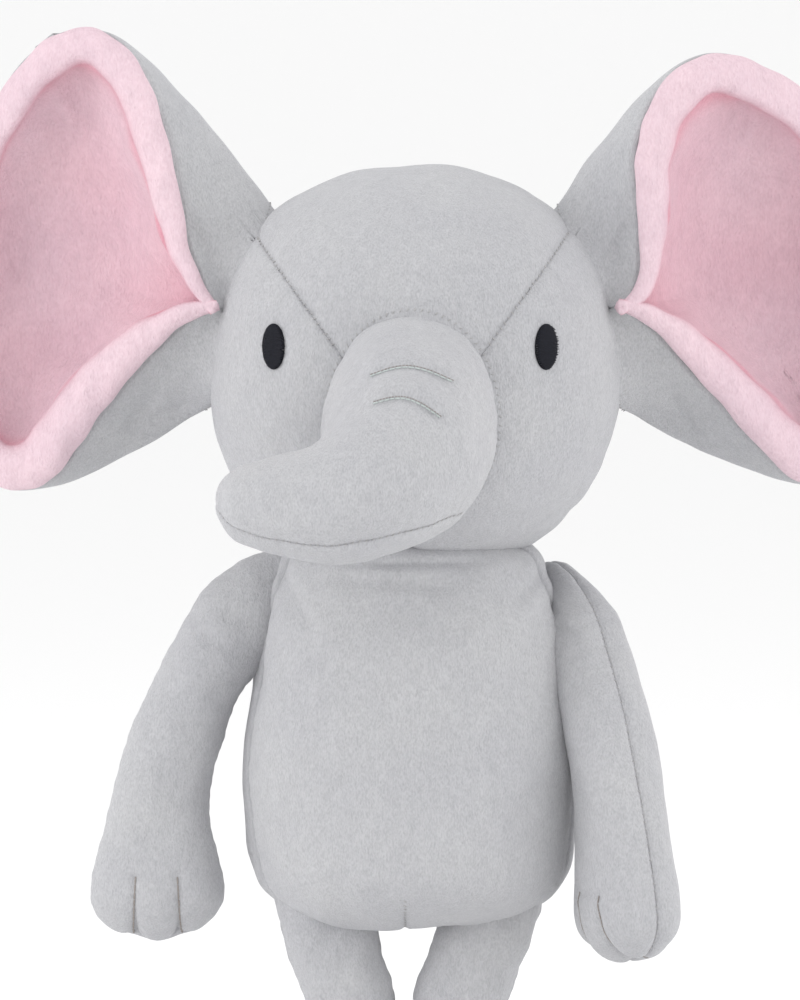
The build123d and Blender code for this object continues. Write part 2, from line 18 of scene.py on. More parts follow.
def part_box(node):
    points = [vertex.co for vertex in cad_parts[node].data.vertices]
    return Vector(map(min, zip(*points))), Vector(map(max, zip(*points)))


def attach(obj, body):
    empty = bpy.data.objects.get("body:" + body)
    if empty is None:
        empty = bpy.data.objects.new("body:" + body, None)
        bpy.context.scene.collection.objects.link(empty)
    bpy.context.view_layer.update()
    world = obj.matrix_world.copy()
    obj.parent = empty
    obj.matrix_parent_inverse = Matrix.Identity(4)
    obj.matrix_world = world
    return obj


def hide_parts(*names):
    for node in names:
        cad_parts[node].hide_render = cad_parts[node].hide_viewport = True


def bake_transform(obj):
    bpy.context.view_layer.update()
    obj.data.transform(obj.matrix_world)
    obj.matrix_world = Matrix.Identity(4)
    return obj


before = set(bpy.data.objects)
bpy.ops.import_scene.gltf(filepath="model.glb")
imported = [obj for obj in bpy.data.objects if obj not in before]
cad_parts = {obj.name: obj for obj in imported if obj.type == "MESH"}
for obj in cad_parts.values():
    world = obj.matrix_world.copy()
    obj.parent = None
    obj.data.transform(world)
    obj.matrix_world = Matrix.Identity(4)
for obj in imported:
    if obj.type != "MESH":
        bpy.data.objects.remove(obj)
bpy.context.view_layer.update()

LOG = logging.getLogger("elephant")
MM = 0.001
FULL_TURN = 2 * math.pi
BODY_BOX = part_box("body_stuffing")
MIDDLE_Y = (BODY_BOX[0].y + BODY_BOX[1].y) / 2  # front to back, the middle of head and body
UP = np.array((0.0, 0.0, 1.0))
TO_BACK = np.array((0.0, 1.0, 0.0))
SIDEWAYS = np.array((1.0, 0.0, 0.0))

Points = np.ndarray
Socket = bpy.types.NodeSocket
Piece = bpy.types.Object
Colour = tuple[float, float, float]
Pair = tuple[float, float]
Triple = tuple[float, float, float]


class Side(Enum):
    """The elephant's own left and right."""

    LEFT = 1
    RIGHT = -1

    @property
    def word(self) -> str:
        """The side as it stands in names."""
        return self.name.lower()


class Fill(Enum):
    """How tightly a form is stuffed."""

    SLACK = 0.45
    SOFT = 0.6
    FIRM = 0.8


# ---------------------------------------------------------------------------
# Finishes
# ---------------------------------------------------------------------------


class NodeTree:
    """Short hand for laying out a material's nodes."""

    def __init__(self, name: str) -> None:
        """Start a material with one Principled shader.

        Args:
            name: The material's name.
        """
        self.material = bpy.data.materials.new(name)
        self.material.use_nodes = True
        self.nodes = self.material.node_tree.nodes
        self.links = self.material.node_tree.links
        self.shader = next(n for n in self.nodes if n.type == "BSDF_PRINCIPLED")

    def add(self, kind: str, **inputs: object) -> bpy.types.Node:
        """Add a node.

        Args:
            kind: Blender's name of the node type.
            **inputs: Socket values by name, with underscores for blanks.

        Returns:
            The new node.
        """
        node = self.nodes.new(kind)
        for label, value in inputs.items():
            node.inputs[label.replace("_", " ")].default_value = value
        return node

    def link(self, source: Socket, target: Socket) -> None:
        """Join two sockets."""
        self.links.new(source, target)

    def place(self, stretch: Sequence[float] = (1, 1, 1)) -> Socket:
        """The surface's place on the object, stretched.

        Args:
            stretch: Factors along x, y and z.

        Returns:
            The vector socket.
        """
        where = self.add("ShaderNodeTexCoord")
        mapping = self.add("ShaderNodeMapping")
        mapping.inputs["Scale"].default_value = stretch
        self.link(where.outputs["Object"], mapping.inputs["Vector"])
        return mapping.outputs["Vector"]

    def noise(self, per_metre: float, detail: float, stretch: Triple = (1, 1, 1)) -> Socket:
        """A cloudy value from 0 to 1.

        Args:
            per_metre: How many clouds to a metre.
            detail: Octaves of finer clouds.
            stretch: Factors along x, y and z.

        Returns:
            The value socket.
        """
        cloud = self.add("ShaderNodeTexNoise", Scale=per_metre, Detail=detail)
        self.link(self.place(stretch), cloud.inputs["Vector"])
        return cloud.outputs["Fac"]

    def mix(self, share: Socket, low: Colour, high: Colour, ends: Pair) -> Socket:
        """A colour between two, by a value.

        Args:
            share: The value that decides.
            low: Colour at the first end.
            high: Colour at the second end.
            ends: The values at which each colour is reached.

        Returns:
            The colour socket.
        """
        ramp = self.add("ShaderNodeValToRGB")
        ramp.color_ramp.elements[0].position = ends[0]
        ramp.color_ramp.elements[1].position = ends[1]
        ramp.color_ramp.elements[0].color = (*low, 1)
        ramp.color_ramp.elements[1].color = (*high, 1)
        self.link(share, ramp.inputs["Fac"])
        return ramp.outputs["Color"]

    def multiply(self, first: Socket, second: Socket) -> Socket:
        """Two colours multiplied."""
        node = self.nodes.new("ShaderNodeMix")
        node.data_type = "RGBA"
        node.blend_type = "MULTIPLY"
        node.inputs[0].default_value = 1
        self.link(first, node.inputs[6])
        self.link(second, node.inputs[7])
        return node.outputs[2]

    def bump(self, height: Socket, metres: float, strength: float, under: Socket | None = None) -> Socket:
        """A bumped normal.

        Args:
            height: Value from 0 to 1.
            metres: Height of a full bump.
            strength: How much of it shows.
            under: A bump that this one lies on.

        Returns:
            The normal socket.
        """
        node = self.add("ShaderNodeBump", Strength=strength, Distance=metres)
        self.link(height, node.inputs["Height"])
        if under is not None:
            self.link(under, node.inputs["Normal"])
        return node.outputs["Normal"]


@dataclass(frozen=True)
class PlushFinish:
    """Short-pile cloth whose nap catches the light.

    Attributes:
        name: The material's name.
        colour: Colour of the lit pile.
        shade: Colour between the tufts.
        pile: Length of a tuft, in metres.
        relief: How deep the pile reads.
        sheen: Strength of the soft glow at grazing angles.
        deep: Colour of the painted shade, which the colour is multiplied by where the skin's sunk attribute
            is 1; it stands in for shade in seam furrows and in the ear's cup.
        nap: Stretch along x, y and z that gives the pile its direction.
    """

    name: str
    colour: Colour
    shade: Colour
    pile: float
    relief: float
    sheen: float
    deep: Colour
    nap: Triple = (1.0, 1.0, 0.42)

    def material(self) -> bpy.types.Material:
        """Lay out the nodes.

        Returns:
            The finished material.
        """
        tree = NodeTree(self.name)
        tufts = tree.noise(1 / self.pile, 3, self.nap)
        strands = tree.noise(3.1 / self.pile, 2, (self.nap[0], self.nap[1], 0.5 * self.nap[2]))
        strokes = tree.noise(0.2 / self.pile, 4, (1, 1, 0.6))
        patches = tree.noise(26, 3)
        tint = tree.mix(tufts, self.shade, self.colour, (0.34, 0.62))
        brushed = tree.mix(strokes, (0.93, 0.93, 0.935), (1.0, 1.0, 1.0), (0.3, 0.68))
        cloudy = tree.mix(patches, (0.94, 0.94, 0.955), (1.0, 1.0, 1.0), (0.32, 0.66))
        # Painted shade: the colour is darkened where the skin's sunk attribute marks seam furrows and the
        # ear's cup.
        painted_shade = self._painted_shade(tree)
        colour = tree.multiply(tree.multiply(tint, brushed), cloudy)
        tree.link(tree.multiply(colour, painted_shade), tree.shader.inputs["Base Color"])
        rough = tree.mix(tufts, (0.98,) * 3, (0.82,) * 3, (0.3, 0.7))
        tree.link(rough, tree.shader.inputs["Roughness"])
        coarse = tree.bump(strokes, 2.6 * self.pile, 0.5 * self.relief)
        medium = tree.bump(tufts, 0.9 * self.pile, self.relief, coarse)
        fine = tree.bump(strands, 0.4 * self.pile, self.relief, medium)
        tree.link(fine, tree.shader.inputs["Normal"])
        tree.shader.inputs["Sheen Weight"].default_value = self.sheen
        tree.shader.inputs["Sheen Roughness"].default_value = 0.45
        tree.shader.inputs["Sheen Tint"].default_value = (*(min(1, 1.15 * c + 0.1) for c in self.colour), 1)
        tree.shader.inputs["Specular IOR Level"].default_value = 0.15
        return tree.material

    def _painted_shade(self, tree: NodeTree) -> Socket:
        """Painted shade: the colour's darkening by the skin's sunk attribute, which stands in for shade in
        seam furrows and in the ear's cup.
        """
        measure = tree.add("ShaderNodeAttribute")
        measure.attribute_name = "painted_shade"
        return tree.mix(measure.outputs["Fac"], (1.0, 1.0, 1.0), self.deep, (0.0, 1.0))


@dataclass(frozen=True)
class ThreadFinish:
    """Twisted sewing or embroidery thread.

    Attributes:
        name: The material's name.
        colour: Colour of the lit strands.
        shade: Colour between the strands.
        gloss: Roughness, lower for shinier thread.
    """

    name: str
    colour: Colour
    shade: Colour
    gloss: float

    def material(self) -> bpy.types.Material:
        """Lay out the nodes.

        Returns:
            The finished material.
        """
        tree = NodeTree(self.name)
        strands = tree.noise(5200, 2, (0.5, 1, 1.2))
        tint = tree.mix(strands, self.shade, self.colour, (0.32, 0.62))
        tree.link(tint, tree.shader.inputs["Base Color"])
        rough = tree.mix(strands, (min(1, self.gloss + 0.2),) * 3, (self.gloss,) * 3, (0.3, 0.7))
        tree.link(rough, tree.shader.inputs["Roughness"])
        tree.link(tree.bump(strands, 0.00012, 0.7), tree.shader.inputs["Normal"])
        tree.shader.inputs["Specular IOR Level"].default_value = 0.22
        tree.shader.inputs["Anisotropic"].default_value = 0.4
        return tree.material


@dataclass(frozen=True)
class RibbonFinish:
    """Woven satin ribbon.

    Attributes:
        name: The material's name.
        colour: Colour of the weave.
        threads: Threads to a metre.
    """

    name: str
    colour: Colour
    threads: float

    def material(self) -> bpy.types.Material:
        """Lay out the nodes.

        Returns:
            The finished material.
        """
        tree = NodeTree(self.name)
        weave = tree.add("ShaderNodeTexWave", Scale=self.threads, Distortion=0.4)
        weave.bands_direction = "Z"
        tree.link(tree.place(), weave.inputs["Vector"])
        shade = tuple(0.86 * c for c in self.colour)
        tint = tree.mix(weave.outputs["Fac"], shade, self.colour, (0.2, 0.8))
        tree.link(tint, tree.shader.inputs["Base Color"])
        cloud = tree.noise(300, 2)
        tree.link(tree.mix(cloud, (0.55,) * 3, (0.42,) * 3, (0.3, 0.7)), tree.shader.inputs["Roughness"])
        tree.link(tree.bump(weave.outputs["Fac"], 0.0001, 0.6), tree.shader.inputs["Normal"])
        tree.shader.inputs["Sheen Weight"].default_value = 0.2
        return tree.material


class Finish(Enum):
    """The finishes of the toy's materials."""

    GREY_PLUSH = PlushFinish(
        "grey_plush",
        colour=(0.53, 0.531, 0.545),
        shade=(0.44, 0.441, 0.455),
        # deep: colour of the painted shade in seam furrows and creases.
        deep=(0.75, 0.75, 0.76),
        pile=0.00055,
        relief=0.8,
        sheen=0.6,
    )
    PINK_PLUSH = PlushFinish(
        "pink_plush",
        colour=(0.79, 0.61, 0.665),
        shade=(0.73, 0.545, 0.60),
        # deep: colour of the painted shade in the ear's cup, under its rim and near the pinch.
        deep=(0.88, 0.46, 0.53),
        pile=0.0008,
        relief=0.7,
        sheen=0.5,
    )
    POLYESTER_FILL = PlushFinish(
        "polyester_fill",
        colour=(0.85, 0.85, 0.83),
        shade=(0.7, 0.7, 0.69),
        deep=(0.9, 0.9, 0.9),
        pile=0.003,
        # deep: colour of painted shade; the neck roll's skin has none marked.
        relief=0.8,
        sheen=0.3,
    )
    BLACK_THREAD = ThreadFinish("black_thread", (0.011, 0.012, 0.02), (0.002, 0.002, 0.004), 0.5)
    PALE_THREAD = ThreadFinish("pale_thread", (0.6, 0.66, 0.64), (0.42, 0.46, 0.45), 0.6)
    GREY_THREAD = ThreadFinish("grey_thread", (0.36, 0.33, 0.31), (0.22, 0.2, 0.185), 0.7)
    SEAM_THREAD = ThreadFinish("seam_thread", (0.47, 0.465, 0.465), (0.36, 0.355, 0.355), 0.8)
    LABEL_RIBBON = RibbonFinish("label_ribbon", (0.85, 0.85, 0.83), 900.0)

    @property
    def slot(self) -> str:
        """The part's material slot that the finish belongs to."""
        return "grey_thread" if self is Finish.SEAM_THREAD else self.value.name

    def material(self) -> bpy.types.Material:
        """The material, laid out when it is first asked for."""
        found = bpy.data.materials.get("finish_" + self.value.name)
        if found is None:
            found = self.value.material()
            found.name = "finish_" + self.value.name
        return found


# ---------------------------------------------------------------------------
# Shape tools: points are in millimetres, with y from the body's middle
# ---------------------------------------------------------------------------


def in_frame(points: Points) -> Points:
    """Millimetres about the body's middle, as metres in the frame."""
    return np.asarray(points, float) * MM + MIDDLE_Y * TO_BACK


def unit(vectors: Points) -> Points:
    """Vectors of length one, in the same directions."""
    vectors = np.asarray(vectors, float)
    length = np.linalg.norm(vectors, axis=-1, keepdims=True)
    return vectors / np.maximum(length, 1e-9)


class SmoothLine:
    """A smooth line through knots of any number of values each."""

    def __init__(self, knots: Sequence, places: Sequence[float] | None = None) -> None:
        """Fit the line.

        Args:
            knots: The values that the line goes through.
            places: Where along the line each knot is; by their distances if not given.
        """
        self.knots = np.asarray(knots, float)
        if self.knots.ndim == 1:
            self.knots = self.knots[:, None]
        if places is None:
            steps = np.linalg.norm(np.diff(self.knots, axis=0), axis=1)
            self.places = np.concatenate([[0.0], np.cumsum(steps)]) / steps.sum()
        else:
            self.places = np.asarray(places, float)
        self.bends = self._bends()

    def _bends(self) -> Points:
        """Second derivatives at the knots."""
        count = len(self.knots)
        gaps = np.diff(self.places)
        slopes = np.diff(self.knots, axis=0) / gaps[:, None]
        system = np.zeros((count, count))
        right = np.zeros_like(self.knots)
        for i in range(1, count - 1):
            system[i, i - 1 : i + 2] = gaps[i - 1], 2 * (gaps[i - 1] + gaps[i]), gaps[i]
            right[i] = 6 * (slopes[i] - slopes[i - 1])
        system[0, 0] = system[-1, -1] = 1
        return np.linalg.solve(system, right)

    def at(self, where: Points | float) -> Points:
        """Values of the line.

        Args:
            where: Places along it.

        Returns:
            One row of values for each place.
        """
        where = np.atleast_1d(np.asarray(where, float))
        i = np.clip(np.searchsorted(self.places, where) - 1, 0, len(self.places) - 2)
        gap = (self.places[i + 1] - self.places[i])[:, None]
        after = (self.places[i + 1] - where)[:, None] / gap
        before = 1 - after
        bend = (after**3 - after) * self.bends[i] + (before**3 - before) * self.bends[i + 1]
        return after * self.knots[i] + before * self.knots[i + 1] + bend * gap**2 / 6


def lumps(points: Points, size: float, seed: int) -> Points:
    """Soft lumps, about -1 to 1, as stuffing makes them.

    Args:
        points: Where, in millimetres.
        size: Distance from lump to lump, in millimetres.
        seed: Picks one of many patterns.

    Returns:
        A value for each point.
    """
    chance = np.random.default_rng(seed)
    waves = unit(chance.normal(size=(14, 3))) * FULL_TURN / size
    waves *= chance.uniform(0.7, 1.5, size=(14, 1))
    phases = chance.uniform(0, FULL_TURN, 14)
    return np.sin(points @ waves.T + phases).sum(-1) / math.sqrt(14)


def facing(grid: Points, wrap: bool) -> Points:
    """The directions that a grid of points faces.

    Args:
        grid: Rows and columns of points.
        wrap: Whether the last column is next to the first.

    Returns:
        One direction for each point.
    """
    down = np.gradient(grid, axis=0)
    if wrap:
        along = (np.roll(grid, -1, axis=1) - np.roll(grid, 1, axis=1)) / 2
    else:
        along = np.gradient(grid, axis=1)
    normal = np.cross(down, along)
    weak = np.linalg.norm(normal, axis=-1) < 1e-7
    normal = unit(normal)
    for row, other in ((0, 1), (-1, -2)):
        if weak[row].any():
            normal[row] = unit(normal[other].mean(0))
    return normal


def outwards(grid: Points, whole: bool = False) -> Points:
    """The directions out of a closed form.

    Args:
        grid: Rings of points.
        whole: Whether out means away from the form's middle, rather than from each ring's.

    Returns:
        One direction for each point.
    """
    faces = facing(grid, True)
    middle = grid.reshape(-1, 3).mean(0) if whole else grid.mean(1, keepdims=True)
    return faces * math.copysign(1, float(((grid - middle) * faces).sum(-1).mean()))


def oval(columns: int, squareness: float) -> tuple[Points, Points]:
    """The two measures of points round an oval, which 2 makes an ellipse and more makes squarer."""
    angles = np.arange(columns) * FULL_TURN / columns
    cosine, sine = (np.sign(v) * np.abs(v) ** (2 / squareness) for v in (np.cos(angles), np.sin(angles)))
    return cosine, sine


def bezier(share: Points, start: Points, first: Points, second: Points, end: Points) -> Points:
    """Curves from one line of points to another.

    Args:
        share: How far along the curves, from 0 to 1.
        start: Where the curves start.
        first: The points they set out towards.
        second: The points they arrive from.
        end: Where they end.

    Returns:
        One row of points for each curve.
    """
    share = share[:, None, None]
    far = share**3 * end + 3 * share**2 * (1 - share) * second
    return ((1 - share) ** 3 * start + 3 * share * (1 - share) ** 2 * first + far).transpose(1, 0, 2)


def crease(points: Points, start: Sequence[float], end: Sequence[float], width: float) -> Points:
    """How near points are to a crease, 1 in it and 0 away from it.

    Args:
        points: Where, in millimetres.
        start: One end of the crease.
        end: The other end.
        width: How far it reaches to its sides.

    Returns:
        A value for each point.
    """
    start, end = np.asarray(start, float), np.asarray(end, float)
    run = end - start
    share = np.clip(((points - start) @ run) / (run @ run), 0, 1)
    away = np.linalg.norm(points - start - share[..., None] * run, axis=-1)
    ends = np.clip(4 * share, 0, 1) * np.clip(4 * (1 - share), 0, 1)
    return np.exp(-((away / width) ** 2)) * (0.25 + 0.75 * ends)


@dataclass
class Skin:
    """A sewn skin as a grid, which panels are cut from and thread lies on.

    Attributes:
        grid: Rows and columns of points, in millimetres.
        wrap: Whether its columns close round.
        painted_shade: Painted shade at each point, from 0 to 1, darkening the cloth's colour where shade
            falls in seam furrows and in the ear's cup.
    """

    grid: Points
    wrap: bool = True
    painted_shade: Points | None = None
    quads: list[tuple[int, ...]] = field(init=False)
    corners: Points = field(init=False)
    tree: BVHTree = field(init=False)

    def __post_init__(self) -> None:
        """Make the faces and the tree that finds points on them."""
        spokes = self.grid - self.grid.mean(1, keepdims=True)
        if self.wrap and (spokes * facing(self.grid, True)).sum() < 0:
            self.grid = self.grid[::-1]
            self.painted_shade = None if self.painted_shade is None else self.painted_shade[::-1]
        rows, columns = self.grid.shape[:2]
        self.corners = in_frame(self.grid.reshape(-1, 3))
        last = columns if self.wrap else columns - 1
        self.quads = [
            (row + j, row + columns + j, row + columns + (j + 1) % columns, row + (j + 1) % columns)
            for row in range(0, (rows - 1) * columns, columns)
            for j in range(last)
        ]
        self.tree = BVHTree.FromPolygons(self.corners.tolist(), self.quads)

    def onto(self, points: Points, toward: Points, lift: float = 0.0) -> tuple[Points, Points]:
        """Lay points on the skin.

        Args:
            points: Points outside it, in millimetres.
            toward: The direction to go in.
            lift: How far above the skin they end, in millimetres.

        Returns:
            The points, in millimetres, and the directions that the skin faces there.
        """
        found, normals = [], []
        for point in in_frame(np.atleast_2d(points)):
            start = Vector(point) - 0.5 * Vector(toward)
            hit, normal, _, _ = self.tree.ray_cast(start, Vector(toward))
            if hit is None:
                hit, normal, _, _ = self.tree.find_nearest(Vector(point))
            if normal.dot(Vector(toward)) > 0:
                normal = -normal
            found.append(hit)
            normals.append(normal)
        normals = np.array(normals)
        flat = (np.array(found) - MIDDLE_Y * TO_BACK) / MM
        return flat + lift * normals, normals


def new_object(name: str, corners: Points, faces: Sequence[Sequence[int]], finish: Finish) -> Piece:
    """An object with smooth faces and a finish.

    Args:
        name: The piece's name.
        corners: Its points, in metres in the frame.
        faces: Corner numbers of each face.
        finish: What it is made of.

    Returns:
        The new object.
    """
    mesh = bpy.data.meshes.new(name)
    mesh.from_pydata(np.asarray(corners).tolist(), [], [list(f) for f in faces])
    mesh.validate()
    mesh.polygons.foreach_set("use_smooth", [True] * len(mesh.polygons))
    mesh.materials.append(finish.material())
    piece = bpy.data.objects.new(name, mesh)
    bpy.context.scene.collection.objects.link(piece)
    return piece


@dataclass(frozen=True)
class Cut:
    """A flat cut that keeps the side its direction points to.

    Attributes:
        place: A point on the cut, in millimetres.
        keep: Direction towards the side that stays.
    """

    place: Triple
    keep: Triple

    def turned(self) -> Cut:
        """The same cut, keeping the other side."""
        return Cut(self.place, tuple(-v for v in self.keep))

    def away(self, points: Points) -> Points:
        """Distances from the cut, positive on the side that stays."""
        return (points - np.asarray(self.place)) @ unit(self.keep)


def thicken(piece: Piece, cloth: float) -> Piece:
    """Give a skin the thickness of its cloth, inwards.

    Args:
        piece: The skin, whose faces look outwards.
        cloth: Thickness, in millimetres.

    Returns:
        The same object with its final mesh.
    """
    layer = piece.modifiers.new("cloth", "SOLIDIFY")
    layer.thickness = cloth * MM
    layer.offset = -1
    evaluated = piece.evaluated_get(bpy.context.evaluated_depsgraph_get())
    mesh = bpy.data.meshes.new_from_object(evaluated)
    piece.modifiers.clear()
    old = piece.data
    piece.data = mesh
    bpy.data.meshes.remove(old)
    return piece


def panel(name: str, skin: Skin, cuts: Sequence[Cut], finish: Finish, cloth: float = 1.6) -> Piece:
    """Cut one cloth panel from a skin.

    Args:
        name: The piece's name.
        skin: The whole skin.
        cuts: The cuts along its seams.
        finish: Its cloth.
        cloth: Thickness, in millimetres.

    Returns:
        The panel.
    """
    piece = new_object(name, skin.corners, skin.quads, finish)
    # Store the skin's painted shade as a point attribute that the plush material darkens its colour by.
    if skin.painted_shade is not None:
        layer = piece.data.attributes.new("painted_shade", "FLOAT", "POINT")
        layer.data.foreach_set("value", np.clip(skin.painted_shade, 0, 1).ravel())
    shape = bmesh.new()
    shape.from_mesh(piece.data)
    bmesh.ops.remove_doubles(shape, verts=shape.verts, dist=2e-6)
    for cut in cuts:
        everything = [*shape.verts, *shape.edges, *shape.faces]
        place = Vector(in_frame(cut.place))
        away = Vector(cut.keep)
        bmesh.ops.bisect_plane(shape, geom=everything, plane_co=place, plane_no=away, clear_inner=True)
    bmesh.ops.remove_doubles(shape, verts=shape.verts, dist=2e-5)
    shape.normal_update()
    shape.to_mesh(piece.data)
    shape.free()
    piece.data.polygons.foreach_set("use_smooth", [True] * len(piece.data.polygons))
    return thicken(piece, cloth)


def threads(
    name: str,
    runs: Sequence[Points],
    radius: float,
    finish: Finish,
    nodes: Sequence[str] = (),
    sides: int = 6,
) -> Piece:
    """Many short lengths of thread as one dressed piece, each rounded at its ends.

    Args:
        name: The piece's name.
        runs: The points that each length follows, in millimetres.
        radius: Half a thread's thickness, in millimetres.
        finish: Its finish.
        nodes: The CAD nodes that it stands for.
        sides: How many flats go round a thread.

    Returns:
        The piece.
    """
    corners, faces = [], []
    turns = np.arange(sides) * FULL_TURN / sides
    for run in runs:
        run = np.asarray(run, float)
        ahead = unit(np.gradient(run, axis=0))
        helper = UP if abs(ahead[len(ahead) // 2, 2]) < 0.8 else SIDEWAYS
        first = unit(np.cross(ahead, helper))
        second = np.cross(ahead, first)
        swell = np.sqrt(np.clip(1 - np.linspace(-0.97, 0.97, len(run)) ** 6, 0.05, 1)) * radius
        start = len(corners)
        for i in range(len(run)):
            ring = np.outer(np.cos(turns), first[i]) + np.outer(np.sin(turns), second[i])
            corners.extend(run[i] + swell[i] * ring)
        for i in range(len(run) - 1):
            for j in range(sides):
                a, b = start + i * sides + j, start + i * sides + (j + 1) % sides
                faces.append((a, b, b + sides, a + sides))
        faces.append(tuple(start + j for j in range(sides))[::-1])
        faces.append(tuple(start + (len(run) - 1) * sides + j for j in range(sides)))
    return dress(new_object(name, in_frame(np.array(corners)), faces, finish), finish, *nodes)


def stitches(
    path: Points, normals: Points, pitch: float, length: float, slant: float, seed: int
) -> list[Points]:
    """Short stitches that cross a seam.

    Args:
        path: Points along the seam, in millimetres.
        normals: Where the skin faces at each.
        pitch: Distance from stitch to stitch.
        length: Length of a stitch.
        slant: Its direction, from 0 across the seam to 1 along it.
        seed: Picks the small differences between stitches.

    Returns:
        The points of each stitch.
    """
    chance = np.random.default_rng(seed)
    steps = np.concatenate([[0], np.cumsum(np.linalg.norm(np.diff(path, axis=0), axis=1))])
    runs = []
    for place in np.arange(pitch / 2, steps[-1], pitch):
        middle = np.array([np.interp(place, steps, path[:, k]) for k in range(3)])
        normal = unit(np.array([np.interp(place, steps, normals[:, k]) for k in range(3)]))
        i = min(np.searchsorted(steps, place), len(path) - 1)
        ahead = unit(path[i] - path[i - 1])
        across = np.cross(normal, ahead)
        lean = slant + chance.uniform(-0.08, 0.08)
        way = unit(lean * ahead + (1 - abs(lean)) * across)
        half = 0.5 * length * chance.uniform(0.85, 1.1)
        share = np.linspace(-1, 1, 6)
        arch = 0.28 * (1 - share**2) - 0.12
        runs.append(middle + np.outer(share * half, way) + np.outer(arch, normal))
    return runs


def dress(piece: Piece, finish: Finish, *nodes: str) -> Piece:
    """Hide the CAD nodes that a piece stands for and log them."""
    if nodes:
        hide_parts(*nodes)
    LOG.info("%s stands for %s", piece.name, ", ".join(nodes) or "no node")
    return piece


def padded(
    name: str,
    skin: Skin,
    nodes: Sequence[str],
    cuts: Sequence[Cut] = (),
    finish: Finish = Finish.GREY_PLUSH,
    cloth: float = 1.6,
) -> Piece:
    """Cut a panel from a skin and dress it.

    Args:
        name: The piece's name.
        skin: The whole skin.
        nodes: The CAD nodes that it stands for.
        cuts: The cuts along its seams.
        finish: Its cloth.
        cloth: Thickness, in millimetres.

    Returns:
        The panel.
    """
    piece = dress(panel(name, skin, cuts, finish, cloth), finish, *nodes)
    return piece


# ---------------------------------------------------------------------------
# Forms
# ---------------------------------------------------------------------------


@dataclass
class Bag:
    """A stuffed bag turned from an outline, rounder or squarer in plan.

    Attributes:
        outline: Half width and height at points from the top to the bottom, in millimetres.
        depth_share: Its depth for its width.
        squareness: 2 is an ellipse in plan, more is squarer.
        lean: How far the middle stands to the elephant's left.
    """

    outline: tuple[Pair, ...]
    depth_share: float
    squareness: float = 2.1
    lean: float = 0.0

    def rings(self, rows: int, columns: int) -> Points:
        """The bag's surface.

        Args:
            rows: Rings from top to bottom.
            columns: Points round a ring.

        Returns:
            Rows and columns of points.
        """
        half = list(self.outline)
        whole = [(-x, z) for x, z in reversed(half[1:])] + half + [(-x, z) for x, z in reversed(half[:-1])]
        line = SmoothLine(whole)
        first, last = line.places[len(half) - 1], line.places[2 * len(half) - 2]
        ring = line.at(np.linspace(first, last, rows))
        ring[0, 0] = ring[-1, 0] = 0
        x, y = oval(columns, self.squareness)
        points = np.empty((rows, columns, 3))
        points[..., 0] = self.lean + np.outer(ring[:, 0], x)
        points[..., 1] = self.depth_share * np.outer(ring[:, 0], y)
        points[..., 2] = ring[:, 1:2]
        return points


@dataclass(frozen=True)
class Station:
    """One oval of a stuffed tube.

    Attributes:
        centre: Its middle, in millimetres.
        heading: Where the tube goes from there.
        across: Half its size along the tube's first axis.
        through: Half its size along the second.
    """

    centre: Triple
    heading: Triple
    across: float
    through: float


@dataclass
class StuffedTube:
    """A stuffed tube through stations, closed and rounded at both ends.

    Attributes:
        stations: Its ovals from the root to the tip.
        first_axis: The direction that an oval's first size is measured along, as nearly as it can be.
        root_cap: Share of its length that the root's end takes to close.
        tip_cap: Share of its length that the tip takes.
        squareness: 2 is an ellipse, more is squarer.
    """

    stations: tuple[Station, ...]
    first_axis: Points
    root_cap: float = 0.06
    tip_cap: float = 0.12
    squareness: float = 2.0

    def rings(self, rows: int, columns: int) -> Points:
        """The tube's surface.

        Args:
            rows: Rings from root to tip.
            columns: Points round a ring.

        Returns:
            Rows and columns of points.
        """
        line = SmoothLine([s.centre for s in self.stations])
        sizes = SmoothLine([(*s.heading, s.across, s.through) for s in self.stations], line.places)
        ends = max(8, rows // 8)
        root = self.root_cap * (1 - np.cos(np.linspace(0, math.pi / 2, ends)))
        tip = 1 - self.tip_cap + self.tip_cap * np.sin(np.linspace(0, math.pi / 2, 2 * ends))
        middle = np.linspace(self.root_cap, 1 - self.tip_cap, rows - 3 * ends + 2)
        where = np.concatenate([root, middle[1:-1], tip])
        close = np.ones_like(where)
        near = where < self.root_cap
        close[near] = np.sqrt(np.clip(1 - (1 - where[near] / self.root_cap) ** 2, 0, 1))
        far = where > 1 - self.tip_cap
        close[far] = np.sqrt(np.clip(1 - ((where[far] - 1 + self.tip_cap) / self.tip_cap) ** 2, 0, 1))
        centres, size = line.at(where), sizes.at(where)
        heading = unit(size[:, :3])
        first = unit(self.first_axis - (heading @ self.first_axis)[:, None] * heading)
        second = np.cross(first, heading)
        c, s = oval(columns, self.squareness)
        a = (size[:, 3] * close)[:, None, None] * c[None, :, None] * first[:, None, :]
        b = (size[:, 4] * close)[:, None, None] * s[None, :, None] * second[:, None, :]
        return centres[:, None, :] + a + b


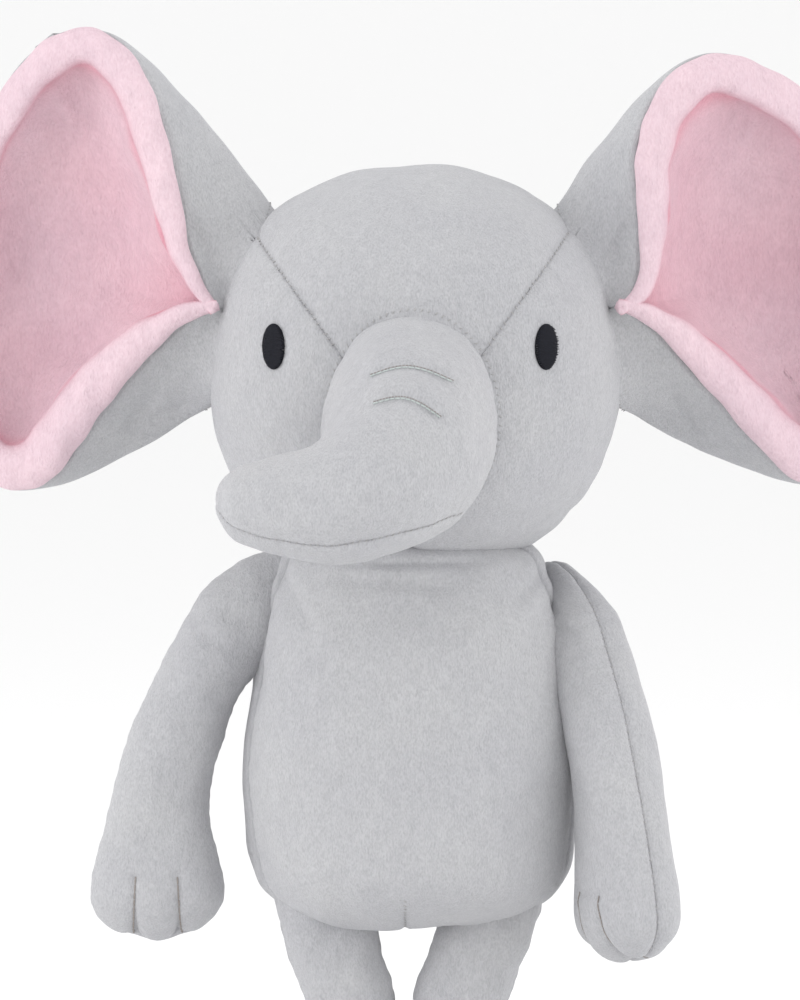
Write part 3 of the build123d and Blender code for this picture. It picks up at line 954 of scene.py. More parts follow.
@dataclass(frozen=True)
class Sewing:
    """How a seam looks in plush.

    Attributes:
        depth: How far it pulls the cloth in, in millimetres.
        width: How wide the furrow is.
        pucker: Depth of the gathers beside it.
        pitch: Distance from gather to gather.
    """

    depth: float = 1.5
    width: float = 2.0
    pucker: float = 0.28
    pitch: float = 5.4

    def furrow(self, away: Points, along: Points, mask: Points | float = 1.0) -> Points:
        """How far the seam pulls the cloth in.

        Args:
            away: Distances from the seam.
            along: Places along the seam.
            mask: 1 where the seam is and 0 where it isn't.

        Returns:
            Depths, in millimetres.
        """
        away = np.abs(away)
        sharp = self.depth * np.exp(-((away / self.width) ** 1.4))
        broad = 0.5 * self.depth * np.exp(-((away / (4 * self.width)) ** 2))
        turn = FULL_TURN * along / self.pitch
        beat = np.sin(turn) + 0.7 * np.sin(turn / 1.83 + 1)
        gathers = self.pucker * beat * np.exp(-away / (2.2 * self.width)) * (1 - np.exp(-away / self.width))
        return (sharp + broad + gathers) * mask


def fade(values: Points, low: float, high: float) -> Points:
    """0 below low, 1 above high and smooth between."""
    share = np.clip((values - low) / (high - low), 0, 1)
    return share * share * (3 - 2 * share)


def furrow_painted_shade(depth: Points) -> Points:
    """Painted shade, from 0 to 1, where a skin is pulled in by these depths: darker colour in seam furrows
    and creases, where shade falls.
    """
    return np.clip(0.6 * (depth - 0.8), 0, 1)


# ---------------------------------------------------------------------------
# The elephant's sub-assemblies
# ---------------------------------------------------------------------------


@dataclass
class Head:
    """The head: five panels, their stitches and two embroidered eyes.

    Attributes:
        bag: The head's form.
        seam_low: x and z of a forehead seam where it meets the trunk.
        seam_high: x and z where it meets the ear.
        ear_seam_y: Where front and back of the head meet.
        eye_places: x and z of the left and the right eye.
        eye_half: Half width and half height of an eye.
        satin_pitch: Distance between two threads of an eye.
        neck_z: Heights between which the skin goes over from neck to head. Not used.
    """

    bag: Bag = field(
        default_factory=lambda: Bag(
            outline=(
                (0, 391.5), (25, 388.6), (44, 380.5), (58, 369.5), (70, 352), (76.6, 332), (78, 311),
                (75.2, 291), (68.5, 272), (58, 258.5), (48.5, 250.5), (43, 247.2), (30, 245.6), (0, 245),
            ),
            depth_share=0.84,
            squareness=2.1,
            lean=1.5,
        )
    )
    seam_low: Pair = (27.5, 323.0)
    seam_high: Pair = (59.5, 366.0)
    ear_seam_y: float = 8.0
    eye_places: tuple[Pair, ...] = ((50.2, 324.0), (-51.3, 324.0))
    eye_half: Pair = (4.0, 8.3)
    satin_pitch: float = 0.36
    neck_z: Pair = (244.0, 264.0)
    skin: Skin = field(init=False)

    def __post_init__(self) -> None:
        """Shape the skin."""
        grid = self.bag.rings(200, 340)
        depth = self._furrows(grid)
        swell = 0.55 * lumps(grid, size=46, seed=3) + 0.22 * lumps(grid, size=17, seed=4)
        skin = grid + outwards(grid, whole=True) * (swell - depth)[..., None]
        # Painted shade in the seam furrows and round the eyes.
        self.skin = Skin(skin, painted_shade=furrow_painted_shade(depth))

    def _seam_cut(self, side: Side) -> Cut:
        """The forehead seam's cut on one side, keeping the forehead."""
        (low_x, low_z), (high_x, high_z) = self.seam_low, self.seam_high
        keep = (-side.value * (high_z - low_z), 0.0, high_x - low_x)
        return Cut((side.value * low_x, 0.0, low_z), keep)

    def _furrows(self, grid: Points) -> Points:
        """How far seams and embroidery pull the head's cloth in."""
        x, y, z = grid[..., 0], grid[..., 1], grid[..., 2]
        front = 1 - fade(y, self.ear_seam_y - 3, self.ear_seam_y + 1)
        depth = np.zeros(grid.shape[:2])
        sewing = Sewing(depth=1.0, width=1.5, pucker=0.34, pitch=5.0)
        for side in Side:
            cut = self._seam_cut(side)
            mask = front * fade(side.value * x, 4, 12) * fade(z, 308, 318)
            depth += sewing.furrow(cut.away(grid), z * 1.25, mask)
        ear_mask = fade(np.abs(y - self.ear_seam_y) < 30, 0, 1) * fade(z, 246, 262)
        depth += Sewing(depth=1.1, width=1.4).furrow(y - self.ear_seam_y, z + np.abs(x), ear_mask)
        back = fade(y, self.ear_seam_y - 2, self.ear_seam_y + 6)
        chin = (1 - fade(z, 250, 262)) * front
        depth += Sewing(depth=1.0, width=1.4).furrow(x, z + y, np.maximum(back, chin))
        for eye_x, eye_z in self.eye_places:
            far = np.hypot((x - eye_x) / 1.1, (z - eye_z) / 1.6)
            depth += 1.1 * np.exp(-((far / 6.5) ** 2)) * front
        return depth

    def front(self, x: Points, z: Points, lift: float = 0.0) -> tuple[Points, Points]:
        """Points on the face seen from the front, and the directions it faces there."""
        points = np.column_stack([x, np.full_like(np.asarray(x, float), -60.0), z])
        return self.skin.onto(points, TO_BACK, lift=lift)

    def build(self) -> None:
        """Make the head's pieces."""
        left, right = self._seam_cut(Side.LEFT), self._seam_cut(Side.RIGHT)
        front = Cut((0, self.ear_seam_y, 0), (0, -1, 0))
        to_left = Cut((0, 0, 0), (1, 0, 0))
        parts = {
            "forehead": ((left, right, front), ("forehead_panel", "head_stuffing")),
            "cheek_left": ((left.turned(), front, to_left), ("cheek_panel_left",)),
            "cheek_right": ((right.turned(), front, to_left.turned()), ("cheek_panel_right",)),
            "head_back_left": ((front.turned(), to_left), ("head_back_panel_left",)),
            "head_back_right": ((front.turned(), to_left.turned()), ("head_back_panel_right",)),
        }
        for name, (cuts, nodes) in parts.items():
            self._hang(padded(f"{name}_skin", self.skin, nodes, cuts))
        self._seam_stitches()
        for side, (x, z) in zip(Side, self.eye_places):
            self._eye(side, x, z)

    def _hang(self, piece: Piece) -> None:
        """Bake a head piece's transform into its mesh."""
        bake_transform(piece)

    def _seam_stitches(self) -> None:
        """Stitches of the forehead seams and of the seam over the back of the head."""
        runs = []
        for side in Side:
            (low_x, low_z), (high_x, high_z) = self.seam_low, self.seam_high
            x = side.value * np.linspace(low_x + 1, high_x, 60)
            z = np.linspace(low_z + 1.3, high_z, 60)
            path, normals = self.front(x, z, -0.05)
            runs += stitches(path, normals, pitch=2.5, length=1.9, slant=0.3, seed=7 + side.value)
        height = np.linspace(375, 262, 160)
        path = np.column_stack([0 * height, 0 * height + 90.0, height])
        path, normals = self.skin.onto(path, -TO_BACK, lift=0.05)
        runs += stitches(path, normals, pitch=2.7, length=2.2, slant=0.3, seed=11)
        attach(threads("head_seam_stitches", runs, 0.24, Finish.SEAM_THREAD), "head")

    def _eye(self, side: Side, x: float, z: float) -> None:
        """One eye of satin stitch: threads side by side, over a rim of thread."""
        chance = np.random.default_rng(20 + side.value)
        half_wide, half_high = self.eye_half
        runs = []
        count = int(2 * half_high / self.satin_pitch)
        for share in np.linspace(-0.985, 0.985, count):
            reach = half_wide * math.sqrt(1 - share * share)
            left = x - reach - chance.uniform(0, 0.22)
            right = x + reach + chance.uniform(0, 0.75)
            row = z + share * half_high
            slope = chance.uniform(-0.12, 0.12)
            across = np.linspace(left, right, 9)
            path, normals = self.front(across, row + slope * np.linspace(-1, 1, 9), 0.0)
            dome = 0.55 + 0.5 * np.sqrt(np.clip(1 - np.linspace(-0.98, 0.98, 9) ** 2, 0, 1))
            runs.append(path + normals * dome[:, None])
        turns = np.linspace(0, FULL_TURN, 60)
        rim_x = x + (half_wide + 0.05) * np.cos(turns)
        rim_z = z + (half_high + 0.05) * np.sin(turns)
        rim, normals = self.front(rim_x, rim_z, 0.25)
        runs.append(rim)
        nodes = (f"eye_{side.word}",)
        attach(threads(f"eye_{side.word}_satin", runs, 0.27, Finish.BLACK_THREAD, nodes, sides=7), "head")


@dataclass
class Trunk:
    """The trunk: a tube that leaves the face, turns to the elephant's right and has two sewn wrinkles.

    Attributes:
        tube: Its form.
        underside: Half of the angle round the tube that the underside panel takes.
        wrinkles: x and z of three points of each wrinkle.
    """

    tube: StuffedTube = field(
        default_factory=lambda: StuffedTube(
            stations=(
                Station((0.5, -34, 297), (0, -1, 0), 38, 31),
                Station((0.5, -50, 297), (0, -1, -0.02), 40, 31.5),
                Station((0, -64, 296), (-0.05, -1, -0.12), 39.5, 32),
                Station((-2.5, -80, 289), (-0.25, -0.9, -0.35), 36.5, 32),
                Station((-9, -93, 281), (-0.6, -0.72, -0.38), 31, 29),
                Station((-20, -101, 273), (-0.88, -0.4, -0.3), 26, 25),
                Station((-33, -104, 268), (-0.98, -0.1, -0.16), 22, 21.5),
                Station((-46, -104, 267), (-1, 0.02, -0.02), 19, 18.5),
                Station((-58, -102.5, 267.5), (-1, 0.1, 0.06), 15.5, 15),
                Station((-65.5, -101, 268.6), (-1, 0.14, 0.1), 12.8, 12.4),
                Station((-71.5, -100, 269.4), (-1, 0.15, 0.12), 11, 10.5),
            ),
            first_axis=UP,
            root_cap=0.05,
            tip_cap=0.07,
        )
    )
    underside: float = math.radians(47)
    wrinkles: tuple[tuple[Pair, ...], ...] = (
        ((-15.2, 314.6), (-2.3, 318.0), (15.6, 312.3)),
        ((-14.0, 305.0), (-3.4, 307.0), (11.0, 299.6)),
    )
    skin: Skin = field(init=False)
    angles: Points = field(init=False)

    def __post_init__(self) -> None:
        """Shape the skin."""
        columns = 240
        grid = self.tube.rings(210, columns)
        self.angles = np.arange(columns) * FULL_TURN / columns
        depth = self._furrows(grid, grid.mean(1, keepdims=True))
        swell = 0.6 * lumps(grid, size=34, seed=8) + 0.25 * lumps(grid, size=13, seed=9)
        # Weaker painted shade in the seam furrows and the wrinkles.
        self.skin = Skin(grid + outwards(grid) * (swell - depth)[..., None], painted_shade=0.6 * furrow_painted_shade(depth))

    def _furrows(self, grid: Points, middle: Points) -> Points:
        """How far seams and wrinkles pull the trunk's cloth in."""
        size = np.linalg.norm(grid - middle, axis=-1)
        below = np.abs(self.angles - math.pi)
        away = (below[None, :] - self.underside) * np.maximum(size, 1)
        along = np.linalg.norm(np.diff(middle[:, 0], axis=0, prepend=middle[:1, 0]), axis=-1).cumsum()
        depth = Sewing(depth=1.0, width=1.4, pucker=0.3).furrow(away, along[:, None] + 0 * away)
        x, y, z = grid[..., 0], grid[..., 1], grid[..., 2]
        for line in self.wrinkles:
            arch = SmoothLine([point[1] for point in line], [point[0] for point in line])
            inside = fade(x, line[0][0] - 4, line[0][0] + 3) * (1 - fade(x, line[2][0] - 3, line[2][0] + 4))
            height = arch.at(np.clip(x.ravel(), line[0][0] - 2, line[2][0] + 2))[:, 0].reshape(x.shape)
            away = z - height
            front = 1 - fade(y, -66, -56)
            fold = 1.5 * np.exp(-((away / 1.5) ** 2)) - 0.9 * np.exp(-(((away - 5) / 3.2) ** 2))
            depth += inside * front * fold
        return depth

    def build(self, head: Head) -> None:
        """Make the trunk's pieces.

        Args:
            head: The head that the trunk is sewn to.
        """
        columns = self.skin.grid.shape[1]
        first = int(round((math.pi - self.underside) / FULL_TURN * columns))
        last = columns - first
        low = np.arange(first, last + 1)
        high = np.arange(last, columns + first + 1) % columns
        for name, picked, nodes in (
            ("trunk_underside_skin", low, ("trunk_underside_panel",)),
            ("trunk_top_skin", high, ("trunk_top_panel", "trunk_stuffing")),
        ):
            part = Skin(self.skin.grid[:, picked], wrap=False, painted_shade=self.skin.painted_shade[:, picked])
            self._hang(padded(name, part, nodes))
        self._seam_stitches((first, last))
        self._wrinkle_stitches()
        self._root_stitches(head)

    def _hang(self, piece: Piece) -> None:
        """Bake a trunk piece's transform into its mesh."""
        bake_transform(piece)

    def _seam_stitches(self, seams: tuple[int, int]) -> None:
        """Stitches along both edges of the underside panel, which are these columns of the skin."""
        runs = []
        outward = facing(self.skin.grid, True)
        for column in seams:
            path, normals = self.skin.grid[30:-4, column], outward[30:-4, column]
            runs += stitches(path, normals, pitch=2.6, length=1.8, slant=0.35, seed=31 + column)
        self._hang(threads("trunk_seam_stitches", runs, 0.24, Finish.SEAM_THREAD))

    def _wrinkle_stitches(self) -> None:
        """The two wrinkle lines, sewn end to end in pale thread, with a thinner grey thread just above each
        as a painted shadow line.
        """
        pale, dark = [], []
        for line in self.wrinkles:
            arch = SmoothLine([(x, z) for x, z in line])
            places = arch.at(np.linspace(0, 1, 120))
            points = np.column_stack([places[:, 0], np.full(120, -200.0), places[:, 1]])
            path, _ = self.skin.onto(points, TO_BACK, lift=0.2)
            for start in range(0, 115, 9):
                pale.append(path[start : start + 9])
            # A grey thread 0.75 mm above each wrinkle line: a painted shadow line along the fold.
            points[:, 2] += 0.75
            path, _ = self.skin.onto(points, TO_BACK, lift=0.05)
            for start in range(0, 116, 5):
                dark.append(path[start : start + 5])
        nodes = ("trunk_wrinkle_stitches",)
        self._hang(threads("trunk_wrinkle_embroidery", pale, 0.3, Finish.PALE_THREAD, nodes))
        self._hang(threads("trunk_wrinkle_shadow_thread", dark, 0.2, Finish.GREY_THREAD))

    def _root_stitches(self, head: Head) -> None:
        """Stitches where the trunk is sewn to the face."""
        turns = np.linspace(0, FULL_TURN, 260)
        centre = self.tube.stations[1]
        outer = np.column_stack([
            centre.centre[0] + (centre.through + 1.2) * np.cos(turns),
            np.full(260, -70.0),
            centre.centre[2] + (centre.across + 1.2) * np.sin(turns),
        ])
        path, normals = head.skin.onto(outer, TO_BACK, lift=0.0)
        runs = stitches(path, normals, pitch=2.7, length=1.5, slant=0.35, seed=41)
        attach(threads("trunk_root_stitches", runs, 0.22, Finish.SEAM_THREAD), "head")


@dataclass
class Ear:
    """A wide cupped ear: grey back, pink lining with a puffy rim, pinched where it meets the head.

    Attributes:
        side: Which ear.
        rim: Distance to the side and height along the rim's outer seam, from the pinch over the top.
        rim_widths: How wide the pink rim looks, at even steps round the ear.
        root_height: Half the height of the ear's root on the head.
        root_depth: Half its depth.
        root_z: The height of its middle.
        pinch_y: How far forward the rim is pinched.
        rim_turn: How far back the rim's outer edge stands for each step to the side.
        cup: How deep the cup is.
        seed: Picks its soft lumps.
    """

    side: Side
    rim: tuple[Pair, ...]
    rim_widths: tuple[float, ...] = (4, 12, 15, 16, 16, 15, 15, 16, 17, 18, 17, 14, 4)
    root_height: float = 37.0
    root_depth: float = 25.0
    root_z: float = 337.0
    pinch_y: float = -24.0
    rim_turn: float = 0.36
    cup: float = 27.0
    seed: int = 50

    def _frames(self, rows: int) -> tuple[Points, Points, Points]:
        """The rim's outer seam, the direction into the cup and the rim's width, round the ear."""
        line = SmoothLine(self.rim)
        steps = np.linspace(0, 1, rows)
        flat = line.at(steps)
        ahead = unit(np.gradient(flat, axis=0))
        inward = np.column_stack([ahead[:, 1], -ahead[:, 0]])
        widths = SmoothLine(self.rim_widths, np.linspace(0, 1, len(self.rim_widths))).at(steps)[:, 0]
        return flat, inward, widths

    def _plane_y(self, x: Points) -> Points:
        """How far back the rim's plane stands."""
        return self.pinch_y + self.rim_turn * (x - self.rim[0][0])

    def _place(self, x: Points, y: Points, z: Points) -> Points:
        """Points on this ear's side of the head."""
        return np.stack([self.side.value * x, y, z], axis=-1)

    def lining(self, rows: int) -> Points:
        """The pink lining's surface, from the outer seam over the rim into the cup."""
        flat, inward, widths = self._frames(rows)
        roll = np.linspace(0, 1, 26)
        swing = math.pi * roll
        share = 0.5 - 0.5 * np.cos(swing)
        x = flat[:, :1] + inward[:, :1] * widths[:, None] * share
        z = flat[:, 1:] + inward[:, 1:] * widths[:, None] * share
        bulge = 0.46 * widths[:, None] * np.sin(swing) ** 0.9
        y = self._plane_y(x) - bulge + 2.0 * (1 - share)
        rim = self._place(x, y, z)
        steps = np.linspace(0, 1, rows)
        reach = (0.5 - 0.5 * np.cos(FULL_TURN * steps)) ** 0.8
        spine_x = self.rim[0][0] + 7 + 74 * reach
        spine_z = self.rim[0][1] + 14 * reach
        deep = self.cup * (0.35 + 0.75 * fade(reach, 0, 0.4) - 0.2 * fade(reach, 0.5, 1))
        spine_y = self._plane_y(spine_x) + deep
        start = np.stack([x[:, -1], y[:, -1], z[:, -1]], axis=-1)
        end = np.stack([spine_x, spine_y, spine_z], axis=-1)
        room = np.linalg.norm(start - end, axis=-1, keepdims=True)
        into = np.column_stack([inward[:, 0], 0 * steps, inward[:, 1]])
        plunge = np.minimum(0.45 * deep, 0.5 * room[:, 0])
        first = start + plunge[:, None] * TO_BACK + 0.03 * room * into
        flat_run = (start - end) * np.array((1, 0, 1))
        second = end + 0.5 * flat_run
        bowl = bezier(np.linspace(0, 1, 70)[1:] ** 1.25, start, first, second, end)
        bowl[..., 0] *= self.side.value
        return np.concatenate([rim, bowl], axis=1)

    def back(self, rows: int, head: Head) -> Points:
        """The grey back's surface, from the outer seam to the root on the head."""
        flat, inward, _ = self._frames(rows)
        steps = np.linspace(0, 1, rows)
        turn = FULL_TURN * steps
        root_y = 1 - self.root_depth * np.cos(turn)
        root_z = self.root_z + self.root_height * np.sin(turn)
        hint = np.column_stack([np.full(rows, 120.0) * self.side.value, root_y, root_z])
        root, _ = head.skin.onto(hint, -self.side.value * SIDEWAYS, lift=-3.0)
        root[:, 0] *= self.side.value
        start = np.column_stack([flat[:, 0], self._plane_y(flat[:, 0]) + 2.0, flat[:, 1]])
        far = (0.5 - 0.5 * np.cos(turn))
        out = np.column_stack([-inward[:, 0], 0 * steps, -inward[:, 1]])
        behind = (6 + 34 * far)[:, None] * TO_BACK
        swell = np.minimum(6.5, 0.2 * np.linalg.norm(start - root, axis=1))[:, None] * out
        first = start + 0.22 * (root - start) + swell + 0.75 * behind
        second = start + 0.7 * (root - start) + 0.6 * swell * (1 - far[:, None]) + behind
        sheet = bezier(np.linspace(0, 1, 80) ** 1.15, start, first, second, root)
        sheet[..., 0] *= self.side.value
        return sheet

    def build(self, head: Head) -> None:
        """Make the ear's pieces.

        Args:
            head: The head that the ear is sewn to.
        """
        rows = 300
        lining = self.lining(rows)
        towards = facing(lining, False)
        towards *= math.copysign(1, -float(towards[:, 30:60, 1].mean()))
        count = lining.shape[1]
        along = np.arange(count)[None, :]
        cup = fade(along, 26, 40) + 0 * lining[..., 0]
        broad = lumps(lining, size=36, seed=self.seed)
        small = 0.3 * lumps(lining, size=16, seed=self.seed + 1)
        wave = cup * (1.0 * broad + small)
        wave += (1 - cup) * 0.45 * lumps(lining, size=16, seed=self.seed + 2)
        wave -= 1.4 * np.exp(-along / 2.2)
        hem = fade(np.linspace(0, 1, rows), 0, 0.04) * (1 - fade(np.linspace(0, 1, rows), 0.96, 1))
        wave *= hem[:, None] * (1 - fade(along, count - 16, count - 1))
        for start, end in self._folds():
            wave -= 3.2 * cup * crease(lining * (1, 0, 1), start, end, 5.0)
        lining = lining + towards * wave[..., None]
        # Painted shade for the pink lining: none on the rolled rim, so it reads paler as if lit, and darker
        # just under the rim's inner edge and near the pinch, where shade falls in the cup, with a little
        # random cloudiness.
        pinch = np.array((self.side.value * self.rim[0][0], self.rim[0][1]))
        nearness = np.exp(-((np.linalg.norm(lining[..., ::2] - pinch, axis=-1) / 34) ** 2))
        under_rim = np.exp(-(((along - 30) / 10) ** 2))
        cloudy = 0.06 * lumps(lining, size=60, seed=self.seed + 7)
        painted_shade = fade(along, 17, 29) * (0.14 + 0.5 * under_rim + 0.36 * nearness + cloudy)
        back = self.back(rows, head)
        outward = facing(back, False)
        outward *= math.copysign(1, float(outward[:, 20:60, 1].mean()))
        puff = 0.5 * lumps(back, size=42, seed=self.seed + 3)
        puff += 0.15 * lumps(back, size=18, seed=self.seed + 4)
        puff -= 1.3 * np.exp(-np.arange(back.shape[1]) / 2.5)
        for start, end in self._gathers():
            puff -= 1.6 * crease(back * (1, 0, 1), start, end, 3.2)
        back = back + outward * (puff * hem[:, None])[..., None]
        back[:, 0] = lining[:, 0]
        word = self.side.word
        lined = (f"ear_{word}_lining", f"ear_{word}_batting")
        # deep carries each layer's painted shade; the grey back has none.
        for layer, grid, deep, finish, toward_front, nodes in (
            ("lining", lining, painted_shade, Finish.PINK_PLUSH, True, lined),
            ("back", back, 0 * back[..., 0], Finish.GREY_PLUSH, False, (f"ear_{word}_back",)),
        ):
            way = facing(grid, False)[:, 20:60, 1].mean()
            if (way < 0) != toward_front:
                grid, deep = grid[::-1], deep[::-1]
            skin = Skin(grid, wrap=False, painted_shade=deep)
            self._hang(padded(f"ear_{word}_{layer}_skin", skin, nodes, finish=finish, cloth=1.2))
        self._root_seam(back)

    def _folds(self) -> tuple[tuple[Points, Points], ...]:
        """Soft folds in the lining, from the rim's top down into the cup."""
        s = self.side.value
        return (
            (np.array((s * 130, 0, 428)), np.array((s * 122, 0, 400))),
            (np.array((s * 144, 0, 420)), np.array((s * 132, 0, 396))),
        )

    def _gathers(self) -> tuple[tuple[Points, Points], ...]:
        """Gathers in the grey back, beside the head."""
        s = self.side.value
        return (
            (np.array((s * 74, 0, 352)), np.array((s * 84, 0, 372))),
            (np.array((s * 82, 0, 300)), np.array((s * 104, 0, 292))),
            (np.array((s * 96, 0, 306)), np.array((s * 108, 0, 288))),
        )

    def _hang(self, piece: Piece) -> None:
        """Bake an ear piece's transform into its mesh."""
        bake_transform(piece)

    def _root_seam(self, back: Points) -> None:
        """Stitches round the ear's root."""
        path = back[6:-6, -6]
        normals = unit(path - np.array((0, 0, self.root_z)))
        runs = stitches(path - 0.3 * normals, normals, pitch=3.0, length=1.2, slant=0.4, seed=self.seed + 5)
        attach(threads(f"ear_{self.side.word}_root_stitches", runs, 0.22, Finish.SEAM_THREAD), "head")


@dataclass
class Torso:
    """The body: a front panel, two back panels, a dart, the closed opening and a ribbon label.

    Attributes:
        bag: The body's form.
        side_seam_y: Where front and back meet.
        dart: x of the short dart and the height of its top.
        closing_z: Height of the middle of the closed opening.
    """

    bag: Bag = field(
        default_factory=lambda: Bag(
            outline=(
                (0, 250.5), (30, 250), (41, 248.6), (47, 245), (51.4, 236), (56.2, 221), (60.6, 200),
                (62.8, 176),
                (63.6, 152), (62.4, 133), (57.5, 118), (46, 108), (28, 102.6), (0, 101),
            ),
            depth_share=0.86,
            squareness=2.2,
        )
    )
    side_seam_y: float = -13.0
    dart: Pair = (-2.3, 117.0)
    closing_z: float = 175.0
    skin: Skin = field(init=False)

    def __post_init__(self) -> None:
        """Shape the skin."""
        grid = self.bag.rings(190, 320)
        x, y, z = grid[..., 0], grid[..., 1], grid[..., 2]
        depth = Sewing(depth=1.4, width=1.6).furrow(y - self.side_seam_y, z + np.abs(x), 1.0)
        back = fade(y, 0, 8)
        under = 1 - fade(z, self.dart[1] - 8, self.dart[1])
        depth += Sewing(depth=1.0, width=1.4).furrow(x, z + y, back)
        dart = Sewing(depth=1.0, width=1.2, pucker=0.2)
        depth += dart.furrow(x - self.dart[0], z - y, (1 - back) * under)
        for start, end, width, deep in self._wrinkles():
            depth += deep * crease(grid * (1, 0, 1), start, end, width) * (1 - back)
        swell = 0.9 * lumps(grid, size=52, seed=60) + 0.3 * lumps(grid, size=20, seed=61)
        skin = grid + outwards(grid, whole=True) * (swell - depth)[..., None]
        # Painted shade in the seam furrows, the dart and the creases.
        self.skin = Skin(skin, painted_shade=furrow_painted_shade(depth))

    @staticmethod
    def _wrinkles() -> tuple[tuple[Sequence[float], Sequence[float], float, float], ...]:
        """Soft creases: start, end, width and depth of each."""
        return (
            ((-26, 0, 242.5), (28, 0, 243.0), 1.6, 1.5),
            ((-34, 0, 237.0), (20, 0, 234.0), 3.2, 0.9),
            ((-50, 0, 240), (-38, 0, 216), 4.0, 1.0),
            ((52, 0, 238), (38, 0, 226), 3.4, 1.2),
            ((50, 0, 228), (46, 0, 206), 3.6, 1.0),
            ((-30, 0, 224), (12, 0, 221), 7.0, 0.6),
            ((8, 0, 200), (16, 0, 150), 12.0, 0.9),
            ((-34, 0, 160), (-10, 0, 140), 12.0, 0.7),
        )

    def build(self) -> None:
        """Make the body's pieces."""
        front = Cut((0, self.side_seam_y, 0), (0, -1, 0))
        to_left = Cut((0, 0, 0), (1, 0, 0))
        parts = {
            "body_front": ((front,), ("body_front_panel", "body_stuffing")),
            "body_back_left": ((front.turned(), to_left), ("body_back_panel_left",)),
            "body_back_right": ((front.turned(), to_left.turned()), ("body_back_panel_right",)),
        }
        for name, (cuts, nodes) in parts.items():
            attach(padded(f"{name}_skin", self.skin, nodes, cuts), "torso")
        self._seam_stitches()
        self._closing()
        self._label()

    def _seam_stitches(self) -> None:
        """Stitches of the side seams and the dart."""
        runs = []
        height = np.linspace(230, 112, 170)
        for side in Side:
            beside = np.full(170, side.value * 90.0)
            hint = np.column_stack([beside, np.full(170, self.side_seam_y), height])
            path, normals = self.skin.onto(hint, -side.value * SIDEWAYS, lift=0.05)
            runs += stitches(path, normals, pitch=2.7, length=2.1, slant=0.3, seed=65 + side.value)
        height = np.linspace(self.dart[1], 104, 30)
        hint = np.column_stack([np.full(30, self.dart[0]), np.full(30, -80.0), height])
        path, normals = self.skin.onto(hint, TO_BACK, lift=0.05)
        runs += stitches(path, normals, pitch=2.6, length=1.3, slant=0.3, seed=68)
        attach(threads("body_seam_stitches", runs, 0.24, Finish.SEAM_THREAD), "torso")

    def _closing(self) -> None:
        """Ladder stitches that close the opening in the back."""
        height = np.linspace(self.closing_z + 31, self.closing_z - 31, 80)
        hint = np.column_stack([np.zeros(80), np.full(80, 80.0), height])
        path, normals = self.skin.onto(hint, -TO_BACK, lift=0.3)
        runs = stitches(path, normals, pitch=5.6, length=4.4, slant=0.12, seed=70)
        nodes = ("closing_stitches",)
        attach(threads("back_closing_stitches", runs, 0.34, Finish.GREY_THREAD, nodes), "torso")

    def _label(self) -> None:
        """A blank ribbon folded in two and caught in the back."""
        low, high = (np.array(corner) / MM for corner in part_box("care_label"))
        width = high[2] - low[2]
        start_y = high[1] - MIDDLE_Y / MM - 14
        reach = 13.6
        share = np.linspace(0, 1, 22)
        out = start_y + reach * np.sin(math.pi * share)
        apart = 0.7 * np.cos(math.pi * share) + low[0]
        rows = np.linspace(0, 1, 14)
        droop = 1.2 * np.sin(math.pi * share) ** 2
        grid = np.empty((22, 14, 3))
        grid[..., 0] = apart[:, None] + 0.5 * np.sin(3 * rows)[None, :] * np.sin(math.pi * share)[:, None]
        grid[..., 1] = out[:, None]
        grid[..., 2] = low[2] + width * rows[None, :] - droop[:, None]
        piece = panel("care_label_ribbon", Skin(grid, wrap=False), (), Finish.LABEL_RIBBON, cloth=0.25)
        dress(piece, Finish.LABEL_RIBBON, "care_label")
        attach(piece, "torso")


@dataclass
class NeckRoll:
    """The stuffed roll inside the neck, which head and body are sewn over.

    Attributes:
        half: Half its width, depth and height, in millimetres.
        base_z: Height of its flat lower side.
    """

    half: Triple = (38.0, 28.0, 24.0)
    base_z: float = 248.0

    def build(self) -> None:
        """Make the roll, which is wholly hidden."""
        outline = ((0, 1), (0.5, 0.87), (0.86, 0.5), (1, 0.12), (0.9, 0), (0.5, 0), (0, 0))
        wide, deep, high = self.half
        line = tuple((wide * x, self.base_z + high * z) for x, z in outline)
        grid = Bag(line, deep / wide).rings(40, 80)
        swell = lumps(grid, size=12, seed=80)[..., None]
        grid = grid + unit(grid - grid.reshape(-1, 3).mean(0)) * 0.6 * swell
        nodes = ("neck_stuffing",)
        fill = Finish.POLYESTER_FILL
        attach(padded("neck_roll", Skin(grid), nodes, finish=fill, cloth=1.0), "neck")


@dataclass
class Limb:
    """What arms and legs share: a tube of a front and a back panel, with toe lines.

    Attributes:
        side: Which limb.
        seed: Picks its soft lumps.
    """

    side: Side
    seed: int

    @staticmethod
    def half_panels(grid: Points) -> tuple[Points, Points]:
        """The columns of the first and the second half turn, each with both seams."""
        half = grid.shape[1] // 2
        first = grid[:, : half + 1]
        second = np.concatenate([grid[:, half:], grid[:, :1]], axis=1)
        return first, second

    @staticmethod
    def side_furrows(grid: Points, sewing: Sewing) -> Points:
        """Furrows along the first column and the one opposite."""
        columns = grid.shape[1]
        middle = grid.mean(1, keepdims=True)
        size = np.linalg.norm(grid - middle, axis=-1)
        angles = np.arange(columns) * FULL_TURN / columns
        gap = np.abs((angles + math.pi / 2) % math.pi - math.pi / 2)
        along = np.linalg.norm(np.diff(middle[:, 0], axis=0, prepend=middle[:1, 0]), axis=-1).cumsum()
        return sewing.furrow(gap[None, :] * size, along[:, None] + 0 * size)


